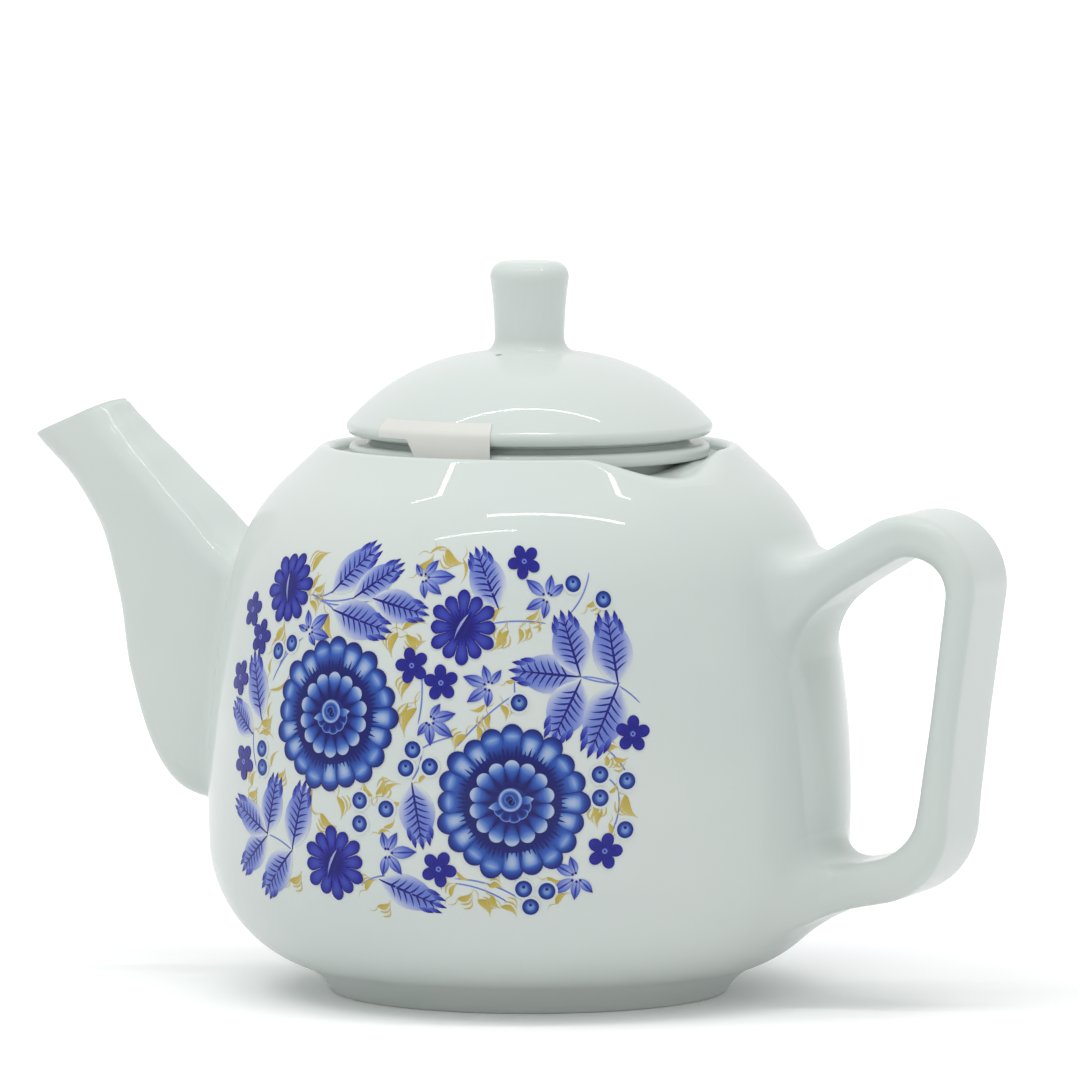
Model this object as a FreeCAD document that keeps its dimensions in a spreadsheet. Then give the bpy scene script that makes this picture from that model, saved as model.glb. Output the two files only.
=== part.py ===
# Porcelain teapot with a lift-out infuser, built as separate cast pieces.
# Millimetres; Z is up, the table is Z = 0, the spout points along -X and the handle along +X.
import FreeCAD, Part
import math
import os
import Sketcher
from FreeCAD import Placement, Rotation, Vector

# Every driving size, in millimetres and degrees, by the name that the model uses for it.
SIZES = {
    # vessel: outer shape
    "belly_radius": 70.9,
    "belly_height": 44.0,
    "side_bow_radius": 220.0,
    "corner_radius": 30.0,
    "corner_height": 34.5,
    "shoulder_radius": 40.0,
    "shoulder_slope": 47.0,
    "inner_slope_least": 0.4,
    "rim_height": 120.6,
    "rim_round": 1.8,
    "mouth_radius": 43.2,
    # vessel: wall, ledge and foot
    "wall": 4.0,
    "ledge_depth": 2.6,
    "ledge_thickness": 4.0,
    "foot_radius": 43.6,
    "foot_width": 3.6,
    "foot_recess": 4.4,
    "foot_recess_lean": 2.0,
    "foot_cove_radius": 13.4,
    # finger notch in the rim
    "notch_turn": -26.5,
    "notch_radius": 32.0,
    "notch_depth": 4.6,
    # infuser
    "infuser_clearance": 1.0,
    "infuser_wall": 3.0,
    "infuser_depth": 66.0,
    "infuser_lean": 3.0,
    "infuser_floor_round": 6.0,
    "flange_clearance": 3.5,
    "flange_width": 4.7,
    "flange_thickness": 4.0,
    "flange_round": 1.0,
    "infuser_hole": 2.2,
    "infuser_hole_low": 14.0,
    "infuser_hole_pitch": 7.0,
    "infuser_hole_count": 20.0,
    "floor_ring_radius": 9.0,
    "floor_ring_count": 8.0,
    # lid
    "lid_overhang": 0.6,
    "lid_gap": 0.9,
    "lid_edge_round": 1.8,
    "lid_dome_radius": 45.0,
    "lid_dome_offset": 6.0,
    "lid_wall": 4.0,
    "lid_seat_inset": 2.7,
    "lid_skirt_clearance": 0.8,
    "lid_skirt_depth": 8.0,
    "lid_skirt_wall": 3.0,
    "vent_radius": 0.8,
    "vent_gap": 3.9,
    "vent_turn": -104.0,
    # knob
    "knob_neck_radius": 7.7,
    "knob_cove_radius": 3.0,
    "knob_side_radius": 90.0,
    "knob_height": 16.9,
    "knob_top_round": 3.4,
    # packing tape
    "tape_thickness": 0.25,
    "tape_gap": 0.02,
    "tape_turn": -94.0,
    "tape_spread": 27.0,
    "tape_reach": 5.6,
    "tape_lap": 1.8,
    # spout
    "spout_wall": 2.8,
    "spout_corner": 6.5,
    "spout_overshoot": 6.0,
    "passage_inset": 18.9,
    "passage_drop": 60.6,
    "passage_height": 30.0,
    "passage_width": 15.0,
    # handle
    "handle_thickness": 8.0,
    "handle_width": 27.0,
    "handle_corner": 3.4,
    "handle_upper_root_inset": 12.0,
    "handle_upper_root_drop": 34.2,
    "handle_upper_corner_reach": 36.0,
    "handle_upper_corner_drop": 6.0,
    "handle_upper_bend": 12.0,
    "handle_lower_root_inset": 10.9,
    "handle_lower_root_height": 23.4,
    "handle_lower_corner_reach": 25.2,
    "handle_lower_corner_height": 30.6,
    "handle_lower_bend": 15.0,
    "handle_flare": 3.6,
    "handle_flare_start": 2.0,
    "handle_flare_length": 17.0,
    "handle_upper_face_turn": 15.0,
    "handle_lower_face_turn": -24.0,
}

# Spout stations from root to lip: reach beyond the belly, height above the rim, the section's height and width,
# and its lean from the vertical.
SPOUT_STATIONS = (
    (-12.9, -56.6, 50.0, 30.0, 4.0),
    (4.7, -49.1, 56.0, 30.0, 10.0),
    (13.9, -33.7, 42.5, 28.0, 17.0),
    (19.8, -20.5, 31.6, 25.0, 14.5),
    (26.4, -8.4, 21.4, 21.5, 22.0),
    (31.2, -2.3, 18.4, 19.5, 41.0),
    (37.3, 3.8, 20.6, 17.5, 70.9),
)
STATION_NAMES = ("reach", "rise", "height", "width", "lean")
for index, station in enumerate(SPOUT_STATIONS):
    for name, number in zip(STATION_NAMES, station):
        SIZES[f"spout_{name}_{index}"] = number

doc = FreeCAD.newDocument("teapot")
sheet = doc.addObject("Spreadsheet::Sheet", "sizes")
for row, (name, number) in enumerate(SIZES.items(), start=1):
    sheet.set(f"A{row}", name)
    sheet.set(f"B{row}", str(number))
    sheet.setAlias(f"B{row}", name)
doc.recompute()


def size(name):
    """The number in a cell of the sheet."""
    return float(getattr(sheet, name))


def value(text):
    """The number that an expression over the sheet comes to."""
    return float(sheet.evalExpression(text))


# Sizes that follow from others, as expressions over the sheet.
FLANGE_RADIUS = "(sizes.mouth_radius - sizes.flange_clearance)"
INFUSER_RADIUS = f"({FLANGE_RADIUS} - sizes.flange_width)"
THROAT_RADIUS = f"({INFUSER_RADIUS} + sizes.infuser_clearance)"
INFUSER_BORE = (
    f"({INFUSER_RADIUS} + sizes.flange_thickness * tan(sizes.infuser_lean * 1 deg)"
    " - sizes.infuser_wall / cos(sizes.infuser_lean * 1 deg))"
)
SKIRT_RADIUS = f"({INFUSER_BORE} - sizes.lid_skirt_clearance)"
LID_RADIUS = f"({FLANGE_RADIUS} + sizes.lid_overhang)"
LID_SEAT_RADIUS = f"({FLANGE_RADIUS} - sizes.lid_seat_inset)"
LEDGE_Z = "(sizes.rim_height - sizes.ledge_depth)"
# the shoulder's rounding leaves a slope that is long enough to carry on inside, below the ledge
SLOPE_COS = "cos(sizes.shoulder_slope * 1 deg)"
SLOPE_SIN = "sin(sizes.shoulder_slope * 1 deg)"
SLOPE_LEAST = (
    f"((sizes.ledge_depth + sizes.ledge_thickness - sizes.rim_round * (1 - {SLOPE_SIN})"
    f" - sizes.wall * {SLOPE_SIN} + sizes.inner_slope_least) / {SLOPE_COS})"
)
SLOPE_ACROSS = (
    f"(sizes.mouth_radius + sizes.rim_round * (1 + {SLOPE_COS}) + {SLOPE_LEAST} * {SLOPE_SIN}"
    " - sizes.belly_radius + sizes.side_bow_radius)"
)
SLOPE_UP = (
    f"(sizes.rim_height - sizes.rim_round * (1 - {SLOPE_SIN}) - {SLOPE_LEAST} * {SLOPE_COS}"
    " - sizes.belly_height)"
)
SHOULDER_LIMIT = (
    f"((sizes.side_bow_radius^2 - {SLOPE_ACROSS}^2 - {SLOPE_UP}^2)"
    f" / (2 * (sizes.side_bow_radius - {SLOPE_ACROSS} * {SLOPE_COS} - {SLOPE_UP} * {SLOPE_SIN})))"
)
SHOULDER_RADIUS = f"min(sizes.shoulder_radius; {SHOULDER_LIMIT})"
INFUSER_BASE_Z = f"({LEDGE_Z} - sizes.infuser_depth)"
FLANGE_TOP = f"({LEDGE_Z} + sizes.flange_thickness)"
LID_EDGE_Z = f"({FLANGE_TOP} + sizes.lid_gap + sizes.lid_edge_round)"
DOME_INSET = f"({LID_RADIUS} - sizes.lid_edge_round - sizes.lid_dome_offset)"
DOME_Z = f"({LID_EDGE_Z} - sqrt((sizes.lid_dome_radius - sizes.lid_edge_round)^2 - {DOME_INSET}^2))"
NECK_INSET = "(sizes.knob_neck_radius + sizes.knob_cove_radius - sizes.lid_dome_offset)"
KNOB_BASE_Z = f"({DOME_Z} + sqrt((sizes.lid_dome_radius + sizes.knob_cove_radius)^2 - {NECK_INSET}^2))"


def origin_plane(body, role):
    return next(item for item in body.Origin.OriginFeatures if item.Role == role)


def new_body(name):
    return doc.addObject("PartDesign::Body", name)


def new_sketch(body, name, role):
    sketch = body.newObject("Sketcher::SketchObject", name)
    sketch.AttachmentSupport = [(origin_plane(body, role), "")]
    sketch.MapMode = "FlatFace"
    return sketch


def bind(sketch, constraint, text):
    """Adds a sketch dimension whose value follows an expression over the sheet."""
    index = sketch.addConstraint(Sketcher.Constraint(*constraint, value(text)))
    sketch.setExpression(f"Constraints[{index}]", text)


def bind_angle(sketch, constraint, text):
    """The same for an angle, given in degrees."""
    index = sketch.addConstraint(Sketcher.Constraint(*constraint, math.radians(value(text))))
    sketch.setExpression(f"Constraints[{index}]", f"({text}) * 1 deg")


class Outline:
    """A closed outline in one sketch; every piece begins where the piece before it ends."""

    def __init__(self, sketch):
        self.sketch = sketch
        self.pieces = []

    def line(self, start, end):
        geometry = Part.LineSegment(Vector(*start, 0), Vector(*end, 0))
        self.pieces.append((self.sketch.addGeometry(geometry, False), 1, 2))
        return self.pieces[-1]

    def arc(self, centre, radius, begin, finish):
        """An arc between two angles in degrees; begin above finish runs clockwise."""
        circle = Part.Circle(Vector(*centre, 0), Vector(0, 0, 1), radius)
        low = math.radians(min(begin, finish))
        high = math.radians(max(begin, finish))
        index = self.sketch.addGeometry(Part.ArcOfCircle(circle, low, high), False)
        ends = (1, 2) if begin < finish else (2, 1)
        self.pieces.append((index, *ends))
        return self.pieces[-1]

    def join(self, first, second, smooth=False):
        kind = "Tangent" if smooth else "Coincident"
        self.sketch.addConstraint(Sketcher.Constraint(kind, first[0], first[2], second[0], second[1]))

    def across(self, piece, text, at="end"):
        """Distance of one end of a piece from the axis of the outline."""
        bind(self.sketch, ("DistanceX", -1, 1, piece[0], self.point(piece, at)), text)

    def up(self, piece, text, at="end"):
        """Height of one end of a piece."""
        bind(self.sketch, ("DistanceY", -1, 1, piece[0], self.point(piece, at)), text)

    def point(self, piece, at):
        return {"start": piece[1], "end": piece[2], "centre": 3}[at]

    def radius(self, piece, text):
        bind(self.sketch, ("Radius", piece[0]), text)

    def level(self, piece):
        self.sketch.addConstraint(Sketcher.Constraint("Horizontal", piece[0]))

    def upright(self, piece):
        self.sketch.addConstraint(Sketcher.Constraint("Vertical", piece[0]))

    def on_axis(self, piece, at):
        self.sketch.addConstraint(Sketcher.Constraint("PointOnObject", piece[0], self.point(piece, at), -2))

    def on_base(self, piece, at):
        self.sketch.addConstraint(Sketcher.Constraint("PointOnObject", piece[0], self.point(piece, at), -1))


def polar(centre, radius, angle):
    turn = math.radians(angle)
    return (centre[0] + radius * math.cos(turn), centre[1] + radius * math.sin(turn))


def heading(start, end):
    """The angle in degrees of the way from one point to another."""
    return math.degrees(math.atan2(end[1] - start[1], end[0] - start[0]))


class VesselShape:
    """Centres and turning points of the vessel's outer shape, worked out from the sheet."""

    def __init__(self):
        side = size("side_bow_radius")
        corner = size("corner_radius")
        shoulder = value(SHOULDER_RADIUS)
        self.shoulder_radius = shoulder
        cove = size("foot_cove_radius")
        self.slope = size("shoulder_slope")
        self.side = (size("belly_radius") - side, size("belly_height"))
        drop = size("corner_height") - self.side[1]
        reach = math.sqrt((side - corner) ** 2 - drop ** 2)
        self.corner = (self.side[0] + reach, size("corner_height"))
        self.corner_turn = heading(self.side, self.corner)
        round_over = size("rim_round")
        self.rim = (size("mouth_radius") + round_over, size("rim_height") - round_over)
        # the shoulder arc touches the bowed side and the sloping line that runs up to the rim
        normal = (math.cos(math.radians(self.slope)), math.sin(math.radians(self.slope)))
        along = (normal[1], -normal[0])
        inset = shoulder - round_over
        base = (self.rim[0] - inset * normal[0], self.rim[1] - inset * normal[1])
        gap = (base[0] - self.side[0], base[1] - self.side[1])
        half = gap[0] * along[0] + gap[1] * along[1]
        rest = gap[0] ** 2 + gap[1] ** 2 - (side - shoulder) ** 2
        run = -half + math.sqrt(half ** 2 - rest)
        self.shoulder = (base[0] + run * along[0], base[1] + run * along[1])
        self.shoulder_turn = heading(self.side, self.shoulder)
        # the cove of the foot starts at the foot's edge and touches the lower corner from outside
        foot = (size("foot_radius"), 0.0)
        self.foot = foot
        span = math.dist(foot, self.corner)
        toward = heading(foot, self.corner)
        cosine = (cove ** 2 + span ** 2 - (corner + cove) ** 2) / (2 * cove * span)
        self.cove = polar(foot, cove, toward - math.degrees(math.acos(cosine)))
        self.cove_turn = heading(self.corner, self.cove)


vessel_shape = VesselShape()


def add_outer_side(outline):
    """The vessel's outside, from the foot's edge up and over the rim to the wall of the mouth."""
    shape = vessel_shape
    foot_turn = heading(shape.cove, shape.foot)
    cove = outline.arc(shape.cove, size("foot_cove_radius"), foot_turn, shape.cove_turn + 180)
    corner = outline.arc(shape.corner, size("corner_radius"), shape.cove_turn, shape.corner_turn)
    side = outline.arc(shape.side, size("side_bow_radius"), shape.corner_turn, shape.shoulder_turn)
    shoulder = outline.arc(shape.shoulder, shape.shoulder_radius, shape.shoulder_turn, shape.slope)
    line_start = polar(shape.shoulder, shape.shoulder_radius, shape.slope)
    line_end = polar(shape.rim, size("rim_round"), shape.slope)
    slope = outline.line(line_start, line_end)
    rim = outline.arc(shape.rim, size("rim_round"), shape.slope, 180.0)
    for first, second in zip((cove, corner, side, shoulder, slope), (corner, side, shoulder, slope, rim)):
        outline.join(first, second, smooth=True)
    outline.across(side, "sizes.belly_radius - sizes.side_bow_radius", "centre")
    outline.up(side, "sizes.belly_height", "centre")
    outline.radius(side, "sizes.side_bow_radius")
    outline.radius(corner, "sizes.corner_radius")
    outline.up(corner, "sizes.corner_height", "centre")
    outline.radius(cove, "sizes.foot_cove_radius")
    outline.radius(shoulder, SHOULDER_RADIUS)
    outline.radius(rim, "sizes.rim_round")
    outline.across(rim, "sizes.mouth_radius + sizes.rim_round", "centre")
    outline.up(rim, "sizes.rim_height - sizes.rim_round", "centre")
    bind_angle(outline.sketch, ("Angle", slope[0]), "sizes.shoulder_slope + 90")
    return cove, corner, side, shoulder, slope, rim


def revolve(body, sketch, name):
    turned = body.newObject("PartDesign::Revolution", name)
    turned.Profile = sketch
    turned.ReferenceAxis = (sketch, ["V_Axis"])
    turned.Angle = 360.0
    body.Tip = turned
    return turned


def make_vessel():
    """The cast vessel: one revolved wall with its mouth, ledge, floor and foot, and the notch cut from its rim."""
    body = new_body("vessel")
    sketch = new_sketch(body, "vessel_outline", "XZ_Plane")
    outline = Outline(sketch)
    shape = vessel_shape
    wall = size("wall")
    foot_inner = size("foot_radius") - size("foot_width")
    ledge_z = size("rim_height") - size("ledge_depth")
    ceiling_z = ledge_z - size("ledge_thickness")
    throat = value(THROAT_RADIUS)
    floor_z = shape.corner[1] - size("corner_radius") + wall
    base = outline.line((foot_inner, 0.0), shape.foot)
    cove, corner, side, shoulder, slope, rim = add_outer_side(outline)
    mouth = outline.line((size("mouth_radius"), shape.rim[1]), (size("mouth_radius"), ledge_z))
    ledge = outline.line((size("mouth_radius"), ledge_z), (throat, ledge_z))
    neck = outline.line((throat, ledge_z), (throat, ceiling_z))
    inner_end = polar(shape.shoulder, shape.shoulder_radius - wall, shape.slope)
    rise = (ceiling_z - inner_end[1]) * math.tan(math.radians(shape.slope))
    inner_start = (inner_end[0] - rise, ceiling_z)
    ceiling = outline.line((throat, ceiling_z), inner_start)
    inner_slope = outline.line(inner_start, inner_end)
    inner_shoulder = outline.arc(
        shape.shoulder, shape.shoulder_radius - wall, shape.slope, shape.shoulder_turn
    )
    inner_side = outline.arc(shape.side, size("side_bow_radius") - wall, shape.shoulder_turn, shape.corner_turn)
    inner_corner = outline.arc(shape.corner, size("corner_radius") - wall, shape.corner_turn, -90.0)
    floor = outline.line((shape.corner[0], floor_z), (0.0, floor_z))
    axis = outline.line((0.0, floor_z), (0.0, size("foot_recess")))
    recess_edge = foot_inner - size("foot_recess_lean")
    recess = outline.line((0.0, size("foot_recess")), (recess_edge, size("foot_recess")))
    foot_side = outline.line((recess_edge, size("foot_recess")), (foot_inner, 0.0))
    outline.join(base, cove)
    outline.join(rim, mouth, smooth=True)
    sharp = (mouth, ledge, neck, ceiling, inner_slope)
    for first, second in zip(sharp[:-1], sharp[1:]):
        outline.join(first, second)
    smooth = (inner_slope, inner_shoulder, inner_side, inner_corner, floor)
    for first, second in zip(smooth[:-1], smooth[1:]):
        outline.join(first, second, smooth=True)
    closing = (floor, axis, recess, foot_side, base)
    for first, second in zip(closing[:-1], closing[1:]):
        outline.join(first, second)
    outline.on_base(base, "start")
    outline.on_base(base, "end")
    outline.across(base, "sizes.foot_radius - sizes.foot_width", "start")
    outline.across(base, "sizes.foot_radius")
    outline.upright(mouth)
    outline.up(mouth, "sizes.rim_height - sizes.ledge_depth")
    outline.level(ledge)
    outline.across(ledge, THROAT_RADIUS)
    outline.upright(neck)
    outline.up(neck, "sizes.rim_height - sizes.ledge_depth - sizes.ledge_thickness")
    outline.level(ceiling)
    sketch.addConstraint(Sketcher.Constraint("Parallel", slope[0], inner_slope[0]))
    bind(sketch, ("Distance", inner_slope[0], 1, slope[0]), "sizes.wall")
    for outer, inner in ((shoulder, inner_shoulder), (side, inner_side), (corner, inner_corner)):
        sketch.addConstraint(Sketcher.Constraint("Coincident", outer[0], 3, inner[0], 3))
    outline.level(floor)
    outline.on_axis(floor, "end")
    outline.on_axis(axis, "end")
    outline.up(axis, "sizes.foot_recess")
    outline.level(recess)
    outline.across(recess, "sizes.foot_radius - sizes.foot_width - sizes.foot_recess_lean")
    revolve(body, sketch, "vessel_wall")
    scoop = new_sketch(body, "notch_outline", "YZ_Plane")
    scoop.AttachmentOffset = Placement(Vector(0, 0, 0), Rotation(Vector(0, 1, 0), size("notch_turn")))
    scoop.setExpression(".AttachmentOffset.Rotation.Angle", "sizes.notch_turn * 1 deg")
    centre_z = size("rim_height") - size("notch_depth") + size("notch_radius")
    ring = scoop.addGeometry(Part.Circle(Vector(0, centre_z, 0), Vector(0, 0, 1), size("notch_radius")), False)
    scoop.addConstraint(Sketcher.Constraint("PointOnObject", ring, 3, -2))
    bind(scoop, ("Radius", ring), "sizes.notch_radius")
    bind(
        scoop, ("DistanceY", -1, 1, ring, 3),
        "sizes.rim_height - sizes.notch_depth + sizes.notch_radius",
    )
    notch = body.newObject("PartDesign::Pocket", "finger_notch")
    notch.Profile = scoop
    notch.Type = "ThroughAll"
    notch.Reversed = True
    body.Tip = notch
    return body


def make_vessel_form():
    """The vessel's outside as a solid, which shapes the roots of the spout and the handle."""
    body = new_body("vessel_form")
    sketch = new_sketch(body, "form_outline", "XZ_Plane")
    outline = Outline(sketch)
    shape = vessel_shape
    base = outline.line((0.0, 0.0), shape.foot)
    pieces = add_outer_side(outline)
    top_z = shape.rim[1]
    top = outline.line((size("mouth_radius"), top_z), (0.0, top_z))
    axis = outline.line((0.0, top_z), (0.0, 0.0))
    outline.join(base, pieces[0])
    outline.join(pieces[-1], top)
    outline.join(top, axis)
    outline.join(axis, base)
    outline.on_base(base, "end")
    outline.across(base, "sizes.foot_radius")
    outline.level(top)
    outline.up(top, "sizes.rim_height - sizes.rim_round", "start")
    outline.on_axis(axis, "start")
    sketch.addConstraint(Sketcher.Constraint("Coincident", axis[0], 2, -1, 1))
    revolve(body, sketch, "form_solid")
    return body


def make_infuser():
    """The loose strainer basket: a flanged, slightly tapering cup pierced in rings."""
    body = new_body("infuser_cup")
    sketch = new_sketch(body, "infuser_outline", "XZ_Plane")
    outline = Outline(sketch)
    ledge_z = size("rim_height") - size("ledge_depth")
    top_z = ledge_z + size("flange_thickness")
    base_z = ledge_z - size("infuser_depth")
    flange = value(FLANGE_RADIUS)
    outer = value(INFUSER_RADIUS)
    edge = size("flange_round")
    lean = size("infuser_lean")
    wall = size("infuser_wall")
    bend = size("infuser_floor_round")
    slant = math.tan(math.radians(lean))
    stretch = 1 / math.cos(math.radians(lean))
    centre_z = base_z + bend
    centre = (outer - (ledge_z - centre_z) * slant - bend * stretch, centre_z)
    bore = value(INFUSER_BORE)
    base = outline.line((0.0, base_z), (centre[0], base_z))
    corner = outline.arc(centre, bend, -90.0, -lean)
    side = outline.line(polar(centre, bend, -lean), (outer, ledge_z))
    under = outline.line((outer, ledge_z), (flange - edge, ledge_z))
    low_edge = outline.arc((flange - edge, ledge_z + edge), edge, -90.0, 0.0)
    rim = outline.line((flange, ledge_z + edge), (flange, top_z - edge))
    high_edge = outline.arc((flange - edge, top_z - edge), edge, 0.0, 90.0)
    top = outline.line((flange - edge, top_z), (bore, top_z))
    inner_side = outline.line((bore, top_z), polar(centre, bend - wall, -lean))
    inner_corner = outline.arc(centre, bend - wall, -lean, -90.0)
    floor = outline.line((centre[0], base_z + wall), (0.0, base_z + wall))
    axis = outline.line((0.0, base_z + wall), (0.0, base_z))
    chain = (base, corner, side, under, low_edge, rim, high_edge, top, inner_side, inner_corner, floor, axis)
    sharp = ((side, under), (top, inner_side), (floor, axis))
    for first, second in zip(chain[:-1], chain[1:]):
        outline.join(first, second, smooth=(first, second) not in sharp)
    outline.join(axis, base)
    outline.level(base)
    outline.on_axis(base, "start")
    outline.up(base, INFUSER_BASE_Z)
    outline.radius(corner, "sizes.infuser_floor_round")
    bind_angle(sketch, ("Angle", side[0]), "90 - sizes.infuser_lean")
    outline.across(side, INFUSER_RADIUS)
    outline.up(side, LEDGE_Z)
    outline.level(under)
    outline.upright(rim)
    outline.across(rim, FLANGE_RADIUS)
    outline.radius(low_edge, "sizes.flange_round")
    outline.radius(high_edge, "sizes.flange_round")
    outline.level(top)
    outline.up(top, FLANGE_TOP)
    sketch.addConstraint(Sketcher.Constraint("Parallel", side[0], inner_side[0]))
    bind(sketch, ("Distance", inner_side[0], 1, side[0]), "sizes.infuser_wall")
    sketch.addConstraint(Sketcher.Constraint("Coincident", corner[0], 3, inner_corner[0], 3))
    outline.level(floor)
    outline.on_axis(floor, "end")
    revolve(body, sketch, "infuser_wall_solid")
    return pierce_infuser(body)


def pierce_infuser(cup):
    """Drills the cup: six rings of holes up its side, and a middle hole with two rings around it in its floor."""
    count = round(size("infuser_hole_count"))
    drills = []
    for ring in range(6):
        height = f"{INFUSER_BASE_Z} + sizes.infuser_hole_low + {ring} * sizes.infuser_hole_pitch"
        for step in range(count):
            # every other ring is set half a pitch round
            turn = math.radians(360 * (step + ring % 2 / 2) / count)
            way = Vector(math.cos(turn), math.sin(turn), 0)
            start = [f"{way.x:.6f} * 0.7 * {INFUSER_RADIUS}", f"{way.y:.6f} * 0.7 * {INFUSER_RADIUS}", height]
            drills.append(drill(start, way, f"0.5 * {INFUSER_RADIUS}"))
    below = f"{INFUSER_BASE_Z} - sizes.infuser_wall"
    drills.append(drill(["0", "0", below], Vector(0, 0, 1), "3 * sizes.infuser_wall"))
    for ring in (1, 2):
        count = ring * round(size("floor_ring_count"))
        for step in range(count):
            turn = math.radians(360 * step / count)
            start = [f"{ring * math.cos(turn):.6f} * sizes.floor_ring_radius",
                     f"{ring * math.sin(turn):.6f} * sizes.floor_ring_radius", below]
            drills.append(drill(start, Vector(0, 0, 1), "3 * sizes.infuser_wall"))
    bundle = doc.addObject("Part::Compound", "infuser_drills")
    bundle.Links = drills
    return cut_away("infuser", cup, bundle)


def drill(start, way, length):
    """A thin cylinder from a starting point, given as three expressions, along a direction."""
    tool = doc.addObject("Part::Cylinder", "drill")
    tool.Placement = Placement(Vector(*[value(text) for text in start]), Rotation(Vector(0, 0, 1), way))
    for axis, text in zip("xyz", start):
        tool.setExpression(f".Placement.Base.{axis}", text)
    tool.setExpression("Radius", "sizes.infuser_hole / 2")
    tool.setExpression("Height", length)
    return tool


def cut_away(name, base, tool):
    """What is left of one object once another is taken away from it."""
    left = doc.addObject("Part::Cut", name)
    left.Base = base
    left.Tool = tool
    return left


def add_hole(sketch, across, up, radius):
    """One circle of a piercing sketch; an expression of "0" puts its centre on that axis."""
    circle = Part.Circle(Vector(value(across), value(up), 0), Vector(0, 0, 1), value(radius))
    index = sketch.addGeometry(circle, False)
    bind(sketch, ("Radius", index), radius)
    for kind, text, axis in (("DistanceX", across, -2), ("DistanceY", up, -1)):
        if text == "0":
            sketch.addConstraint(Sketcher.Constraint("PointOnObject", index, 3, axis))
        else:
            bind(sketch, (kind, -1, 1, index, 3), text)


def pierce_up(body, sketch, name):
    cut = body.newObject("PartDesign::Pocket", name)
    cut.Profile = sketch
    cut.Type = "ThroughAll"
    cut.Reversed = True
    body.Tip = cut
    return cut


def make_lid():
    """The domed lid: its edge stands just clear of the flange, and a step inside the edge rests on it."""
    body = new_body("lid")
    sketch = new_sketch(body, "lid_outline", "XZ_Plane")
    outline = Outline(sketch)
    edge = size("lid_edge_round")
    lip_z = value(FLANGE_TOP) + size("lid_gap")
    seat_z = value(FLANGE_TOP)
    dome = (size("lid_dome_offset"), value(DOME_Z))
    dome_r = size("lid_dome_radius")
    seat_r = value(LID_SEAT_RADIUS)
    edge_centre = (value(LID_RADIUS) - edge, lip_z + edge)
    cove = (size("knob_neck_radius") + size("knob_cove_radius"), value(KNOB_BASE_Z))
    skirt = value(SKIRT_RADIUS)
    skirt_z = seat_z - size("lid_skirt_depth")
    inner_r = skirt - size("lid_skirt_wall")
    shell_r = dome_r - size("lid_wall")
    shell_turn = math.degrees(math.acos((inner_r - dome[0]) / shell_r))
    shell_start = polar(dome, shell_r, shell_turn)
    top = outline.line((0.0, cove[1]), (size("knob_neck_radius"), cove[1]))
    collar = outline.arc(cove, size("knob_cove_radius"), 180.0, heading(cove, dome) % 360)
    crown = outline.arc(dome, dome_r, heading(dome, cove), heading(dome, edge_centre))
    rim = outline.arc(edge_centre, edge, heading(dome, edge_centre), -90.0)
    lip = outline.line((edge_centre[0], lip_z), (seat_r, lip_z))
    step = outline.line((seat_r, lip_z), (seat_r, seat_z))
    seat = outline.line((seat_r, seat_z), (skirt, seat_z))
    skirt_side = outline.line((skirt, seat_z), (skirt, skirt_z))
    skirt_base = outline.line((skirt, skirt_z), (inner_r, skirt_z))
    skirt_inner = outline.line((inner_r, skirt_z), shell_start)
    shell = outline.arc(dome, shell_r, shell_turn, 90.0)
    ceiling = outline.line(polar(dome, shell_r, 90.0), (0.0, dome[1] + shell_r))
    axis = outline.line((0.0, dome[1] + shell_r), (0.0, cove[1]))
    chain = (
        top, collar, crown, rim, lip, step, seat, skirt_side, skirt_base, skirt_inner, shell, ceiling, axis
    )
    smooth = ((collar, crown), (crown, rim), (rim, lip), (shell, ceiling))
    for first, second in zip(chain, chain[1:] + chain[:1]):
        outline.join(first, second, smooth=(first, second) in smooth)
    outline.level(top)
    outline.across(top, "sizes.knob_neck_radius")
    outline.radius(collar, "sizes.knob_cove_radius")
    sketch.addConstraint(Sketcher.Constraint("Horizontal", top[0], 2, collar[0], 3))
    outline.level(lip)
    for piece in (step, skirt_side, skirt_inner):
        outline.upright(piece)
    outline.on_axis(top, "start")
    sketch.addConstraint(Sketcher.Constraint("Coincident", crown[0], 3, shell[0], 3))
    outline.radius(crown, "sizes.lid_dome_radius")
    outline.across(crown, "sizes.lid_dome_offset", "centre")
    outline.radius(rim, "sizes.lid_edge_round")
    outline.across(rim, f"{LID_RADIUS} - sizes.lid_edge_round", "centre")
    outline.up(lip, f"{FLANGE_TOP} + sizes.lid_gap")
    outline.across(step, LID_SEAT_RADIUS)
    outline.up(step, FLANGE_TOP)
    outline.level(seat)
    outline.across(seat, SKIRT_RADIUS)
    outline.level(skirt_base)
    outline.up(skirt_side, f"{FLANGE_TOP} - sizes.lid_skirt_depth")
    outline.across(skirt_base, f"{SKIRT_RADIUS} - sizes.lid_skirt_wall")
    outline.radius(shell, "sizes.lid_dome_radius - sizes.lid_wall")
    outline.level(ceiling)
    outline.on_axis(ceiling, "end")
    revolve(body, sketch, "lid_shell")
    vent = new_sketch(body, "vent_outline", "XY_Plane")
    vent.AttachmentOffset = Placement(Vector(0, 0, 0), Rotation(Vector(0, 0, 1), size("vent_turn")))
    vent.setExpression(".AttachmentOffset.Rotation.Angle", "sizes.vent_turn * 1 deg")
    add_hole(vent, "sizes.knob_neck_radius + sizes.vent_gap", "0", "sizes.vent_radius")
    pierce_up(body, vent, "steam_vent")
    return body


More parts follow.
